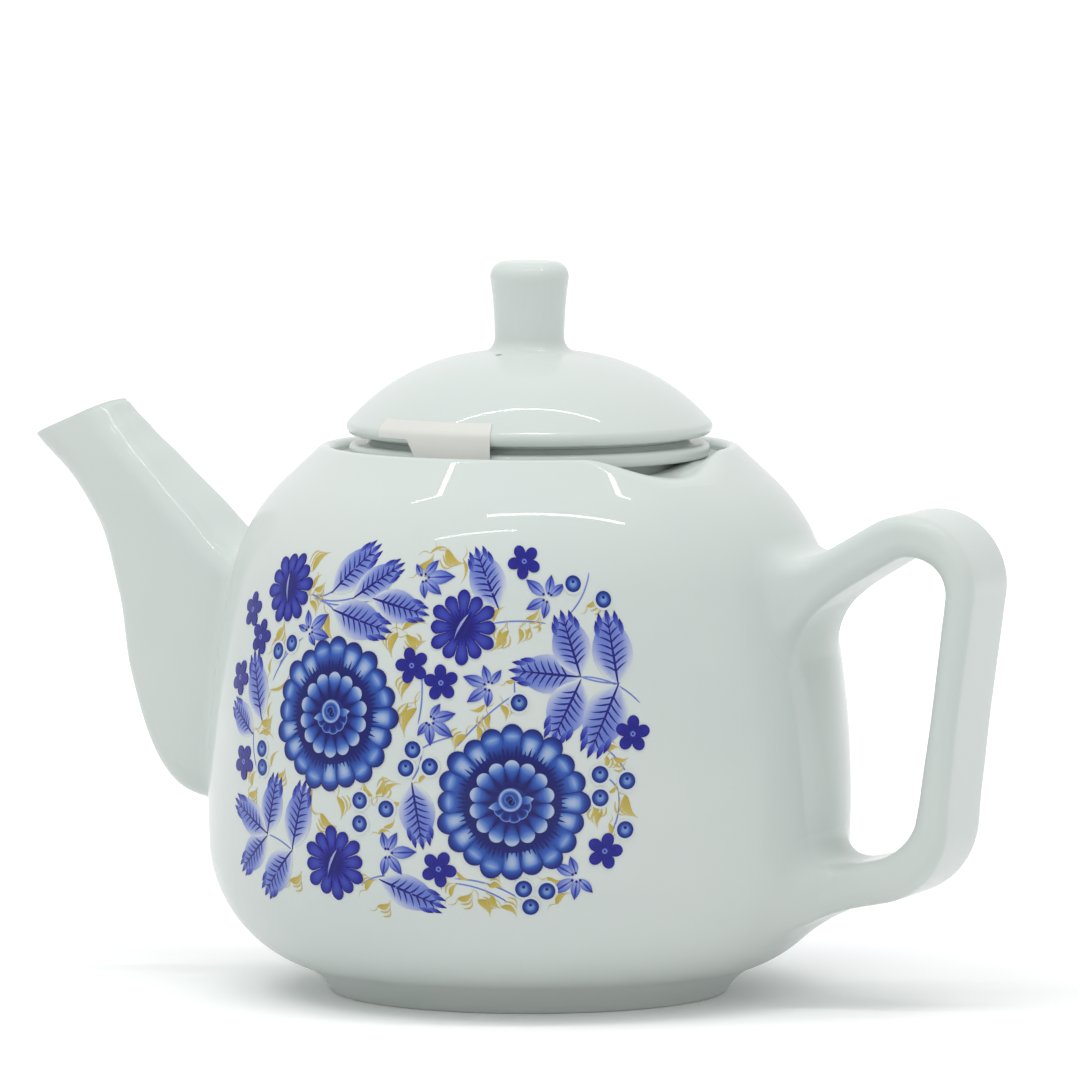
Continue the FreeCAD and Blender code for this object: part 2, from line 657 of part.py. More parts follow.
def make_knob():
    """The knob, which stands on the flat top of the lid's collar."""
    body = new_body("lid_knob")
    sketch = new_sketch(body, "knob_outline", "XZ_Plane")
    outline = Outline(sketch)
    base_z = value(KNOB_BASE_Z)
    top_z = base_z + size("knob_height")
    neck = size("knob_neck_radius")
    waist_r = size("knob_side_radius")
    cap_r = size("knob_top_round")
    waist = (neck + waist_r, base_z)
    cap_z = top_z - cap_r
    cap = (waist[0] - math.sqrt((waist_r + cap_r) ** 2 - (cap_z - base_z) ** 2), cap_z)
    base = outline.line((0.0, base_z), (neck, base_z))
    side = outline.arc(waist, waist_r, 180.0, heading(waist, cap))
    shoulder = outline.arc(cap, cap_r, heading(cap, waist), 90.0)
    top = outline.line((cap[0], top_z), (0.0, top_z))
    axis = outline.line((0.0, top_z), (0.0, base_z))
    chain = (base, side, shoulder, top, axis)
    smooth = ((side, shoulder), (shoulder, top))
    for first, second in zip(chain, chain[1:] + chain[:1]):
        outline.join(first, second, smooth=(first, second) in smooth)
    outline.level(base)
    outline.on_axis(base, "start")
    outline.across(base, "sizes.knob_neck_radius")
    outline.up(base, KNOB_BASE_Z)
    outline.radius(side, "sizes.knob_side_radius")
    outline.up(side, KNOB_BASE_Z, "centre")
    outline.radius(shoulder, "sizes.knob_top_round")
    outline.level(top)
    outline.on_axis(top, "end")
    outline.up(top, f"{KNOB_BASE_Z} + sizes.knob_height")
    revolve(body, sketch, "knob_solid")
    return body


def make_tape():
    """A short strip of tape around part of the lid's edge, from the dome down over the flange."""
    body = new_body("packing_tape")
    sketch = new_sketch(body, "tape_outline", "XZ_Plane")
    outline = Outline(sketch)
    gap = size("tape_gap")
    thick = size("tape_thickness")
    edge = size("lid_edge_round")
    edge_centre = (value(LID_RADIUS) - edge, value(LID_EDGE_Z))
    dome = (size("lid_dome_offset"), value(DOME_Z))
    dome_r = size("lid_dome_radius")
    inside = value(LID_RADIUS) + gap
    outside = inside + thick
    low_z = value(LID_EDGE_Z) - size("tape_reach")
    turn = heading(dome, edge_centre)
    end_turn = math.degrees(math.asin((edge_centre[1] + size("tape_lap") - dome[1]) / (dome_r + gap)))
    face = outline.line((inside, low_z), (inside, edge_centre[1]))
    face_edge = outline.arc(edge_centre, edge + gap, 0.0, turn)
    face_dome = outline.arc(dome, dome_r + gap, turn, end_turn)
    cap = outline.line(polar(dome, dome_r + gap, end_turn), polar(dome, dome_r + gap + thick, end_turn))
    back_dome = outline.arc(dome, dome_r + gap + thick, end_turn, turn)
    back_edge = outline.arc(edge_centre, edge + gap + thick, turn, 0.0)
    back = outline.line((outside, edge_centre[1]), (outside, low_z))
    base = outline.line((outside, low_z), (inside, low_z))
    chain = (face, face_edge, face_dome, cap, back_dome, back_edge, back, base)
    sharp = ((face_dome, cap), (cap, back_dome), (back, base), (base, face))
    for first, second in zip(chain, chain[1:] + chain[:1]):
        outline.join(first, second, smooth=(first, second) not in sharp)
    outline.upright(face)
    outline.level(base)
    outline.up(base, f"{LID_EDGE_Z} - sizes.tape_reach", "start")
    outline.across(face_edge, f"{LID_RADIUS} - sizes.lid_edge_round", "centre")
    outline.up(face_edge, LID_EDGE_Z, "centre")
    outline.radius(face_edge, "sizes.lid_edge_round + sizes.tape_gap")
    outline.radius(face_dome, "sizes.lid_dome_radius + sizes.tape_gap")
    outline.across(face_dome, "sizes.lid_dome_offset", "centre")
    outline.up(face_dome, f"{LID_EDGE_Z} + sizes.tape_lap")
    outline.radius(back_edge, "sizes.lid_edge_round + sizes.tape_gap + sizes.tape_thickness")
    for first, second in ((face_edge, back_edge), (face_dome, back_dome)):
        sketch.addConstraint(Sketcher.Constraint("Coincident", first[0], 3, second[0], 3))
    sketch.addConstraint(Sketcher.Constraint("PointOnObject", face_dome[0], 3, cap[0]))
    strip = revolve(body, sketch, "tape_strip")
    strip.Midplane = True
    strip.Angle = size("tape_spread")
    strip.setExpression("Angle", "sizes.tape_spread * 1 deg")
    body.Placement = Placement(Vector(0, 0, 0), Rotation(Vector(0, 0, 1), size("tape_turn")))
    body.setExpression(".Placement.Rotation.Angle", "sizes.tape_turn * 1 deg")
    return body


def rounded_section(body, name, x, z, lean, height, width, corner):
    """A rounded rectangle across the body's XZ plane, centred at x and z and leaning from the vertical."""
    corner = f"min({corner}; 0.45 * ({height}); 0.45 * ({width}))"
    sketch = new_sketch(body, name, "YZ_Plane")
    sketch.AttachmentOffset = Placement(Vector(0, value(z), value(x)), Rotation(Vector(1, 0, 0), value(lean)))
    sketch.setExpression(".AttachmentOffset.Base.z", x)
    sketch.setExpression(".AttachmentOffset.Base.y", z)
    sketch.setExpression(".AttachmentOffset.Rotation.Angle", f"({lean}) * 1 deg")
    half_w = value(width) / 2
    half_h = value(height) / 2
    bend = value(corner)
    outline = Outline(sketch)
    side_x = half_w - bend
    side_y = half_h - bend
    right = outline.line((half_w, -side_y), (half_w, side_y))
    arc_a = outline.arc((side_x, side_y), bend, 0.0, 90.0)
    top = outline.line((side_x, half_h), (-side_x, half_h))
    arc_b = outline.arc((-side_x, side_y), bend, 90.0, 180.0)
    left = outline.line((-half_w, side_y), (-half_w, -side_y))
    arc_c = outline.arc((-side_x, -side_y), bend, 180.0, 270.0)
    bottom = outline.line((-side_x, -half_h), (side_x, -half_h))
    arc_d = outline.arc((side_x, -side_y), bend, 270.0, 360.0)
    chain = (right, arc_a, top, arc_b, left, arc_c, bottom, arc_d)
    for first, second in zip(chain, chain[1:] + chain[:1]):
        outline.join(first, second, smooth=True)
    outline.upright(right)
    outline.level(top)
    outline.upright(left)
    outline.level(bottom)
    outline.radius(arc_a, corner)
    for other in (arc_b, arc_c, arc_d):
        sketch.addConstraint(Sketcher.Constraint("Equal", arc_a[0], other[0]))
    outline.across(right, f"({width}) / 2")
    outline.up(top, f"({height}) / 2")
    bind(sketch, ("DistanceX", left[0], 1, -1, 1), f"({width}) / 2")
    bind(sketch, ("DistanceY", bottom[0], 1, -1, 1), f"({height}) / 2")
    return sketch


def loft(body, name, sections, straight=False):
    blend = body.newObject("PartDesign::AdditiveLoft", name)
    blend.Ruled = straight
    blend.Profile = sections[0]
    blend.Sections = sections[1:]
    body.Tip = blend
    return blend


def spout_station(index):
    """Place, height, width and lean of one of the spout's sections."""
    reach, rise, height, width, lean = [f"sizes.spout_{name}_{index}" for name in STATION_NAMES]
    return f"-(sizes.belly_radius + {reach})", f"(sizes.rim_height + {rise})", height, width, lean


def make_spout_outside():
    body = new_body("spout_outside")
    sections = []
    for index in range(len(SPOUT_STATIONS)):
        x, z, height, width, lean = spout_station(index)
        sections.append(
            rounded_section(body, f"spout_section_{index}", x, z, lean, height, width, "sizes.spout_corner")
        )
    loft(body, "spout_blend", sections)
    return body


def make_spout_channel():
    """The way the tea takes: from inside the vessel, through its wall, and out past the lip."""
    body = new_body("spout_channel")
    corner = "sizes.spout_corner - sizes.spout_wall"
    sections = [
        rounded_section(
            body, "channel_root", "-(sizes.belly_radius - sizes.passage_inset)",
            "sizes.rim_height - sizes.passage_drop", "0", "sizes.passage_height", "sizes.passage_width", corner,
        )
    ]
    last = len(SPOUT_STATIONS) - 1
    for index in range(1, last + 1):
        x, z, height, width, lean = spout_station(index)
        inner = [f"{text} - 2 * sizes.spout_wall" for text in (height, width)]
        sections.append(rounded_section(body, f"channel_section_{index}", x, z, lean, *inner, corner))
    tip_x = f"{x} - sizes.spout_overshoot * cos({lean} * 1 deg)"
    tip_z = f"{z} + sizes.spout_overshoot * sin({lean} * 1 deg)"
    sections.append(rounded_section(body, "channel_end", tip_x, tip_z, lean, *inner, corner))
    loft(body, "channel_blend", sections, straight=True)
    return body


def make_handle_strap():
    """The handle's strap, swept round its line, with a flare at each root."""
    body = new_body("handle_strap")
    corners = [
        ("(sizes.belly_radius - sizes.handle_upper_root_inset)", "(sizes.rim_height - sizes.handle_upper_root_drop)"),
        ("(sizes.belly_radius + sizes.handle_upper_corner_reach)",
         "(sizes.rim_height - sizes.handle_upper_corner_drop)"),
        ("(sizes.belly_radius + sizes.handle_lower_corner_reach)", "sizes.handle_lower_corner_height"),
        ("(sizes.belly_radius - sizes.handle_lower_root_inset)", "sizes.handle_lower_root_height"),
    ]
    points = [(value(x), value(z)) for x, z in corners]
    path = new_sketch(body, "handle_line", "XZ_Plane")
    guides = []
    for start, end in zip(points[:-1], points[1:]):
        segment = Part.LineSegment(Vector(*start, 0), Vector(*end, 0))
        guides.append(path.addGeometry(segment, True))
    for first, second in zip(guides[:-1], guides[1:]):
        path.addConstraint(Sketcher.Constraint("Coincident", first, 2, second, 1))
    for guide, (x, z) in zip(guides, corners[:-1]):
        bind(path, ("DistanceX", -1, 1, guide, 1), x)
        bind(path, ("DistanceY", -1, 1, guide, 1), z)
    bind(path, ("DistanceX", -1, 1, guides[-1], 2), corners[-1][0])
    bind(path, ("DistanceY", -1, 1, guides[-1], 2), corners[-1][1])
    outline = Outline(path)
    bends = [handle_bend(points[k - 1], points[k], points[k + 1], name)
             for k, name in ((1, "handle_upper_bend"), (2, "handle_lower_bend"))]
    upper = outline.line(points[0], bends[0]["start"])
    upper_bend = outline.arc(*bends[0]["arc"])
    limb = outline.line(bends[0]["end"], bends[1]["start"])
    lower_bend = outline.arc(*bends[1]["arc"])
    lower = outline.line(bends[1]["end"], points[3])
    chain = (upper, upper_bend, limb, lower_bend, lower)
    for first, second in zip(chain[:-1], chain[1:]):
        outline.join(first, second, smooth=True)
    outline.radius(upper_bend, "sizes.handle_upper_bend")
    outline.radius(lower_bend, "sizes.handle_lower_bend")
    path.addConstraint(Sketcher.Constraint("Coincident", upper[0], 1, guides[0], 1))
    path.addConstraint(Sketcher.Constraint("PointOnObject", upper[0], 2, guides[0]))
    path.addConstraint(Sketcher.Constraint("PointOnObject", limb[0], 1, guides[1]))
    path.addConstraint(Sketcher.Constraint("PointOnObject", limb[0], 2, guides[1]))
    path.addConstraint(Sketcher.Constraint("PointOnObject", lower[0], 1, guides[2]))
    path.addConstraint(Sketcher.Constraint("Coincident", lower[0], 2, guides[2], 2))
    roots = []
    for root, corner in ((0, 1), (3, 2)):
        run = f"({corners[corner][0]} - {corners[root][0]})"
        rise = f"({corners[corner][1]} - {corners[root][1]})"
        roots.append((corners[root], run, rise))
    thick = "sizes.handle_thickness"
    wide = "sizes.handle_width"
    bend = "sizes.handle_corner"
    first_root, run, rise = roots[0]
    section = rounded_section(
        body, "handle_section", *first_root, f"-atan2({rise}; {run}) / 1 deg", thick, wide, bend
    )
    strap = body.newObject("PartDesign::AdditivePipe", "handle_sweep")
    strap.Profile = section
    strap.Spine = (path, [f"Edge{number}" for number in range(1, 6)])
    body.Tip = strap
    for name, (root, run, rise) in zip(("upper", "lower"), roots):
        add_flare(body, name, root, run, rise)
    return body


# How far along a root's flare each of its sections lies, and its share of the flare's widening and turning.
FLARE_SECTIONS = ((0.0, 1.0, 0.0), (0.18, 0.43, 0.3), (0.45, 0.165, 0.65), (1.0, 0.0, 1.0))


def add_flare(body, name, root, run, rise):
    """A root that widens in a smooth curve from the strap to the vessel's side, and turns to face it."""
    arm_turn = f"(atan2({rise}; {run}) / 1 deg)"
    side_turn = f"sizes.handle_{name}_face_turn"
    reach = f"sqrt({run}^2 + {rise}^2)"
    sections = []
    for number, (along, widen, turn) in enumerate(FLARE_SECTIONS):
        step = f"(sizes.handle_flare_start + {along} * sizes.handle_flare_length)"
        x = f"{root[0]} + {step} * {run} / {reach}"
        z = f"{root[1]} + {step} * {rise} / {reach}"
        lean = f"-({side_turn} + {turn} * ({arm_turn} - {side_turn}))"
        grow = f"{2 * widen} * sizes.handle_flare"
        sections.append(
            rounded_section(
                body, f"{name}_flare_{number}", x, z, lean, f"sizes.handle_thickness + {grow}",
                f"sizes.handle_width + {grow}", "sizes.handle_corner",
            )
        )
    loft(body, f"{name}_flare", sections)


def handle_bend(before, corner, after, name):
    """The arc that rounds one corner of the handle's line, and the points where it leaves the two lines."""
    radius = size(name)
    back = heading(corner, before)
    ahead = heading(corner, after)
    opening = (ahead - back) % 360
    half = math.radians(min(opening, 360 - opening) / 2)
    reach = radius / math.tan(half)
    start = polar(corner, reach, back)
    end = polar(corner, reach, ahead)
    middle = back + opening / 2 if opening < 180 else back - (360 - opening) / 2
    centre = polar(corner, radius / math.sin(half), middle)
    begin = heading(centre, start)
    finish = begin + ((heading(centre, end) - begin + 180) % 360 - 180)
    return {"start": start, "end": end, "arc": (centre, radius, begin, finish)}


vessel = make_vessel()
form = make_vessel_form()
channel = make_spout_channel()
spout_outside = make_spout_outside()
strap = make_handle_strap()
lid = make_lid()
knob = make_knob()
tape = make_tape()
pieces = {
    "pot_body": cut_away("pot_body", vessel, channel),
    "spout": cut_away("spout", cut_away("spout_fitted", spout_outside, form), channel),
    "handle": cut_away("handle", strap, form),
    "infuser": make_infuser(),
    "lid": lid,
    "lid_knob": knob,
    "packing_tape": tape,
}
doc.recompute()
for item in doc.Objects:
    if "Invalid" in item.State or "Error" in item.State:
        raise RuntimeError(f"{item.Name} did not compute: {item.State}")
for label, item in pieces.items():
    item.Label = label
    if item.Shape.isNull() or not item.Shape.isValid() or len(item.Shape.Solids) != 1:
        raise RuntimeError(f"{label} is not one sound solid")
os.makedirs("parts", exist_ok=True)
for label, item in pieces.items():
    item.Shape.exportStep(f"parts/{item.Label}.step")
    print(label, round(item.Shape.Volume), item.Shape.optimalBoundingBox())
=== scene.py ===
# A porcelain teapot with a strainer basket and painted flowers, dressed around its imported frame.
# Sizes are in millimetres and degrees unless a name says otherwise. Z is up and the spout points along -X.
import math
import bpy
import numpy as np
from mathutils import Matrix, Vector


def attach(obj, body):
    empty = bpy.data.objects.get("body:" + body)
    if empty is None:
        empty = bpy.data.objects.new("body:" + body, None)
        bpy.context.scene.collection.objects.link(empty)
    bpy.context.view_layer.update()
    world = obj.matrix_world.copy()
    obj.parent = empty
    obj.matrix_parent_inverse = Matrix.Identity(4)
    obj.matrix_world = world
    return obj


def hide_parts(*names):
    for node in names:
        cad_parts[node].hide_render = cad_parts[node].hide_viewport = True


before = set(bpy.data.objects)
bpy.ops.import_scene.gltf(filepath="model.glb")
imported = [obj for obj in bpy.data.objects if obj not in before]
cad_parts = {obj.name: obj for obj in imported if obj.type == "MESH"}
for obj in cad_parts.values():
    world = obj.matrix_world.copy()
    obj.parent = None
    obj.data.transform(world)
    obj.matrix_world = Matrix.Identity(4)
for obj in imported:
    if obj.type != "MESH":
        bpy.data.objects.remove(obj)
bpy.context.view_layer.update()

MM = 0.001
SHARP_ANGLE = 40.0
SAME_SPOT = 1e-4

# How finely the round pieces are divided
VESSEL_TURNS = 230
NOTCH_FAN = 46.0
NOTCH_SHARE = 0.5
INFUSER_TURNS = 180
LID_TURNS = 256
KNOB_TURNS = 144

# Vessel
BELLY_RADIUS = 70.9
BELLY_HEIGHT = 44.0
SIDE_BOW = 220.0
CORNER_RADIUS = 30.0
CORNER_HEIGHT = 34.5
SHOULDER_RADIUS = 40.0
SHOULDER_SLOPE = 47.0
RIM_HEIGHT = 120.6
RIM_ROUND = 1.8
MOUTH_RADIUS = 43.2
WALL = 4.0
LEDGE_Z = 118.0
LEDGE_THICKNESS = 4.0
THROAT_RADIUS = 36.0
FOOT_RADIUS = 43.6
FOOT_INNER = 40.0
FOOT_RECESS = 4.4
FOOT_LEAN = 2.0
FOOT_COVE = 13.4
COVE_SKIP = 9.0
NOTCH_TURN = -26.5
NOTCH_RADIUS = 32.0
NOTCH_DEPTH = 4.6

# Infuser
INFUSER_RADIUS = 35.0
INFUSER_WALL = 3.0
INFUSER_BASE = 52.0
INFUSER_LEAN = 3.0
INFUSER_ROUND = 6.0
FLANGE_RADIUS = 39.7
FLANGE_TOP = 122.0
FLANGE_STEP = 0.9
HOLE_RADIUS = 1.1
HOLE_LOW = 14.0
HOLE_PITCH = 7.0
HOLE_RINGS = 6
HOLE_COUNT = 20
FLOOR_RING = 9.0
FLOOR_COUNT = 8

# Lid and knob
LID_RADIUS = 40.3
LID_GAP = 0.9
LID_EDGE = 1.8
DOME_RADIUS = 45.0
DOME_OFFSET = 6.0
LID_WALL = 4.0
SEAT_RADIUS = 35.0
SKIRT_RADIUS = 31.4
SKIRT_DEPTH = 8.0
SKIRT_WALL = 3.0
VENT_RADIUS = 0.8
VENT_REACH = 11.6
VENT_TURN = -104.0
NECK_RADIUS = 7.7
NECK_COVE = 3.0
KNOB_SIDE = 90.0
KNOB_HEIGHT = 16.9
KNOB_ROUND = 3.4


def polar(centre, radius, angle):
    turn = math.radians(angle)
    return (centre[0] + radius * math.cos(turn), centre[1] + radius * math.sin(turn))


def heading(start, end):
    return math.degrees(math.atan2(end[1] - start[1], end[0] - start[0]))


def between(start, end, share):
    """The point at a share of the way from one point to another."""
    return (start[0] + share * (end[0] - start[0]), start[1] + share * (end[1] - start[1]))


def arc(centre, radius, begin, finish, step=1.0):
    """Points of an arc between two angles, about a step apart."""
    length = abs(math.radians(finish - begin)) * radius
    count = max(3, math.ceil(length / step) + 1)
    return [polar(centre, radius, angle) for angle in np.linspace(begin, finish, count)]


def rounded_path(corners, step=1.0):
    """Points along straight runs whose corners, given as (point, radius), are rounded."""
    points = [corners[0][0]]
    for (before, _), (corner, radius), (after, _) in zip(corners, corners[1:], corners[2:]):
        back = heading(corner, before)
        ahead = heading(corner, after)
        turn = (ahead - back + 180) % 360 - 180
        half = math.radians(abs(turn) / 2)
        reach = radius / math.tan(half)
        start = polar(corner, reach, back)
        centre = polar(corner, radius / math.sin(half), back + turn / 2)
        begin = heading(centre, start)
        sweep = -math.copysign(180 - abs(turn), turn)
        points += arc(centre, radius, begin, begin + sweep, step / 4)
    points.append(corners[-1][0])
    return subdivided(points, step)


def subdivided(points, step):
    """The same points with more between those that lie over a step apart."""
    result = [points[0]]
    for start, end in zip(points, points[1:]):
        count = max(1, math.ceil(math.dist(start, end) / step))
        result += [between(start, end, share) for share in np.linspace(0, 1, count + 1)[1:]]
    return result


def run_lengths(line):
    """How far along a line each of its points lies."""
    steps = np.linalg.norm(np.diff(line, axis=0), axis=1)
    return np.concatenate([[0.0], np.cumsum(steps)])


def at_lengths(line, wanted):
    """The points of a line at wanted lengths along it."""
    lengths = run_lengths(line)
    return np.stack([np.interp(wanted, lengths, values) for values in line.T], axis=-1)


def resampled(line, count):
    """The same line of points with a given number of even steps."""
    return at_lengths(line, np.linspace(0.0, run_lengths(line)[-1], count))


def unit(way):
    return way / np.linalg.norm(way)


def joined(*runs):
    """One line of points; a point that repeats the one before it is left out."""
    points = []
    for run in runs:
        for point in run:
            if not points or math.dist(point, points[-1]) > SAME_SPOT:
                points.append(point)
    return points


class VesselShape:
    """Arc centres of the vessel's side, from its driving sizes."""

    side = (BELLY_RADIUS - SIDE_BOW, BELLY_HEIGHT)
    corner = (
        side[0] + math.sqrt((SIDE_BOW - CORNER_RADIUS) ** 2 - (CORNER_HEIGHT - BELLY_HEIGHT) ** 2),
        CORNER_HEIGHT,
    )
    corner_turn = heading(side, corner)
    rim = (MOUTH_RADIUS + RIM_ROUND, RIM_HEIGHT - RIM_ROUND)
    normal = (math.cos(math.radians(SHOULDER_SLOPE)), math.sin(math.radians(SHOULDER_SLOPE)))
    inset = SHOULDER_RADIUS - RIM_ROUND
    gap = (rim[0] - inset * normal[0] - side[0], rim[1] - inset * normal[1] - side[1])
    half = gap[0] * normal[1] - gap[1] * normal[0]
    run = -half + math.sqrt(half ** 2 - gap[0] ** 2 - gap[1] ** 2 + (SIDE_BOW - SHOULDER_RADIUS) ** 2)
    shoulder = (side[0] + gap[0] + run * normal[1], side[1] + gap[1] - run * normal[0])
    shoulder_turn = heading(side, shoulder)
    foot = (FOOT_RADIUS, 0.0)
    span = math.dist(foot, corner)
    cove_lean = math.acos(
        (FOOT_COVE ** 2 + span ** 2 - (CORNER_RADIUS + FOOT_COVE) ** 2) / (2 * FOOT_COVE * span)
    )
    cove = polar(foot, FOOT_COVE, heading(foot, corner) - math.degrees(cove_lean))
    cove_turn = heading(corner, cove)


def vessel_side():
    """The vessel's outside, from the foot up to the start of the rim's rounding."""
    shape = VesselShape
    slope_end = polar(shape.rim, RIM_ROUND, SHOULDER_SLOPE)
    return joined(
        arc(shape.cove, FOOT_COVE, heading(shape.cove, shape.foot), shape.cove_turn + 180),
        arc(shape.corner, CORNER_RADIUS, shape.cove_turn, shape.corner_turn),
        arc(shape.side, SIDE_BOW, shape.corner_turn, shape.shoulder_turn),
        arc(shape.shoulder, SHOULDER_RADIUS, shape.shoulder_turn, SHOULDER_SLOPE, 0.7),
        subdivided([polar(shape.shoulder, SHOULDER_RADIUS, SHOULDER_SLOPE), slope_end], 0.4),
    )


SIDE = np.array(vessel_side())


def side_radius(z):
    """The vessel's outer radius at a height."""
    return np.interp(z, SIDE[:, 1], SIDE[:, 0])


def vessel_outline():
    """Half section of the vessel, from the middle of its underside over the rim to its floor."""
    shape = VesselShape
    cove_start = polar(shape.cove, FOOT_COVE, heading(shape.cove, shape.foot) - COVE_SKIP)
    under = rounded_path([
        ((0.0, FOOT_RECESS), 0.0),
        ((FOOT_INNER - FOOT_LEAN, FOOT_RECESS), 1.2),
        ((FOOT_INNER, 0.0), 0.7),
        (shape.foot, 0.7),
        (cove_start, 0.0),
    ], 0.8)
    side = [point for point in vessel_side() if point[1] > cove_start[1]]
    rim = arc(shape.rim, RIM_ROUND, SHOULDER_SLOPE, 180.0, 0.25)
    inner_end = polar(shape.shoulder, SHOULDER_RADIUS - WALL, SHOULDER_SLOPE)
    ceiling = LEDGE_Z - LEDGE_THICKNESS
    rise = (ceiling - inner_end[1]) * math.tan(math.radians(SHOULDER_SLOPE))
    throat = rounded_path([
        (rim[-1], 0.0),
        ((MOUTH_RADIUS, LEDGE_Z), 0.3),
        ((THROAT_RADIUS, LEDGE_Z), 0.8),
        ((THROAT_RADIUS, ceiling), 0.8),
        ((inner_end[0] - rise, ceiling), 1.0),
        (inner_end, 0.0),
    ], 0.5)
    inside = joined(
        arc(shape.shoulder, SHOULDER_RADIUS - WALL, SHOULDER_SLOPE, shape.shoulder_turn, 2.0),
        arc(shape.side, SIDE_BOW - WALL, shape.shoulder_turn, shape.corner_turn, 2.0),
        arc(shape.corner, CORNER_RADIUS - WALL, shape.corner_turn, -90.0, 2.0),
    )
    floor_z = CORNER_HEIGHT - CORNER_RADIUS + WALL
    floor = subdivided([(shape.corner[0], floor_z), (0.0, floor_z)], 4.0)
    return joined(under, side, rim, throat, inside, floor)


def revolved(outline, turns):
    """Points and faces of an outline turned about the axis; its two ends lie on the axis."""
    angles = np.radians(turns)
    ring = np.array(outline[1:-1])
    points = np.empty((len(ring), len(angles), 3))
    points[..., 0] = ring[:, :1] * np.cos(angles)
    points[..., 1] = ring[:, :1] * np.sin(angles)
    points[..., 2] = ring[:, 1:]
    count = len(angles)
    first = len(ring) * count
    faces = tube_faces(len(ring), count)
    last_ring = (len(ring) - 1) * count
    for step in range(count):
        after = (step + 1) % count
        faces.append((first, after, step))
        faces.append((first + 1, last_ring + step, last_ring + after))
    poles = [(0.0, 0.0, outline[0][1]), (0.0, 0.0, outline[-1][1])]
    return np.concatenate([points.reshape(-1, 3), poles]), faces


def band_faces(low, high, count):
    """Four-sided faces between two closed rings of points."""
    ahead = [(step + 1) % count for step in range(count)]
    return [(low + step, low + ahead[step], high + ahead[step], high + step) for step in range(count)]


def tube_faces(rows, count):
    """Faces between the rings of a tube that is open at both ends."""
    faces = []
    for row in range(rows - 1):
        faces += band_faces(row * count, (row + 1) * count, count)
    return faces


def closed_tube(rows, count):
    """Faces of a tube whose two ends are closed."""
    ends = [tuple(range(count))[::-1], tuple(range((rows - 1) * count, rows * count))]
    return tube_faces(rows, count) + ends


def even_turns(count):
    return np.linspace(0, 360, count, endpoint=False)


def finer_turns(count, middle, reach, share):
    """Turns of a full circle, with a given share of them within a reach of one direction."""
    near = round(count * share)
    inside = np.linspace(middle - reach, middle + reach, near, endpoint=False)
    outside = np.linspace(middle + reach, middle - reach + 360, count - near, endpoint=False)
    return np.concatenate([inside, outside])


def add_object(name, data):
    added = bpy.data.objects.new(name, data)
    bpy.context.scene.collection.objects.link(added)
    return added


def new_piece(name, points, faces, *materials):
    """A smooth mesh object from points in millimetres."""
    mesh = bpy.data.meshes.new(name)
    mesh.from_pydata((np.asarray(points) * MM).tolist(), [], faces)
    mesh.shade_smooth()
    mesh.set_sharp_from_angle(angle=math.radians(SHARP_ANGLE))
    for material in materials:
        mesh.materials.append(material)
    return add_object(name, mesh)


def stand_for(piece, body, node):
    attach(piece, body)
    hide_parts(node)


def cut_out(piece, points, faces):
    """Takes a closed form, given by its points and faces, away from a piece."""
    tool = new_piece("cutter", points, faces)
    cutter = piece.modifiers.new("cut", "BOOLEAN")
    cutter.operation = "DIFFERENCE"
    cutter.solver = "EXACT"
    cutter.object = tool
    bpy.context.view_layer.update()
    shaped = piece.evaluated_get(bpy.context.evaluated_depsgraph_get())
    mesh = bpy.data.meshes.new_from_object(shaped)
    piece.modifiers.clear()
    mesh.name = piece.name
    piece.data = mesh
    bpy.data.objects.remove(tool)
    mesh.set_sharp_from_angle(angle=math.radians(SHARP_ANGLE))


def smooth_least(a, b, softness):
    """The lesser of two numbers, with a soft change from one to the other."""
    blend = np.clip(0.5 + 0.5 * (b - a) / softness, 0, 1)
    return b + (a - b) * blend - softness * blend * (1 - blend)


NOTCH_SOFTNESS = 3.2
NOTCH_INNER = 20.0
NOTCH_FLOOR = LEDGE_Z - LEDGE_THICKNESS + 0.5


def scoop_notch(points):
    """Lowers the rim and the ledge into the finger notch."""
    turn = math.radians(NOTCH_TURN)
    outward = points[:, 0] * math.cos(turn) + points[:, 1] * math.sin(turn)
    aside = points[:, 1] * math.cos(turn) - points[:, 0] * math.sin(turn)
    inside = np.sqrt(np.maximum(NOTCH_RADIUS ** 2 - aside ** 2, 1.0))
    bottom = RIM_HEIGHT - NOTCH_DEPTH + NOTCH_RADIUS - inside
    top = points[:, 2] > NOTCH_FLOOR
    reached = top & (outward > NOTCH_INNER) & (np.abs(aside) < NOTCH_RADIUS)
    lowered = smooth_least(points[:, 2], bottom, NOTCH_SOFTNESS)
    points[reached, 2] = np.minimum(points[reached, 2], lowered[reached])
    return points


# Spout stations from root to lip: x, z, the section's height and width, and its lean from the vertical.
SPOUT_STATIONS = (
    (-58.0, 64.0, 50.0, 30.0, 4.0),
    (-75.6, 71.5, 56.0, 30.0, 10.0),
    (-84.8, 86.9, 42.5, 28.0, 17.0),
    (-90.7, 100.1, 31.6, 25.0, 14.5),
    (-97.3, 112.2, 21.4, 21.5, 22.0),
    (-102.1, 118.3, 18.4, 19.5, 41.0),
    (-108.2, 124.4, 20.6, 17.5, 70.9),
)
PASSAGE_STATION = (-52.0, 60.0, 35.6, 20.6, 0.0)
SPOUT_WALL = 2.8
SPOUT_CORNER = 6.5
LIP_BULGE = 1.1
SPOUT_FILLET = 4.0

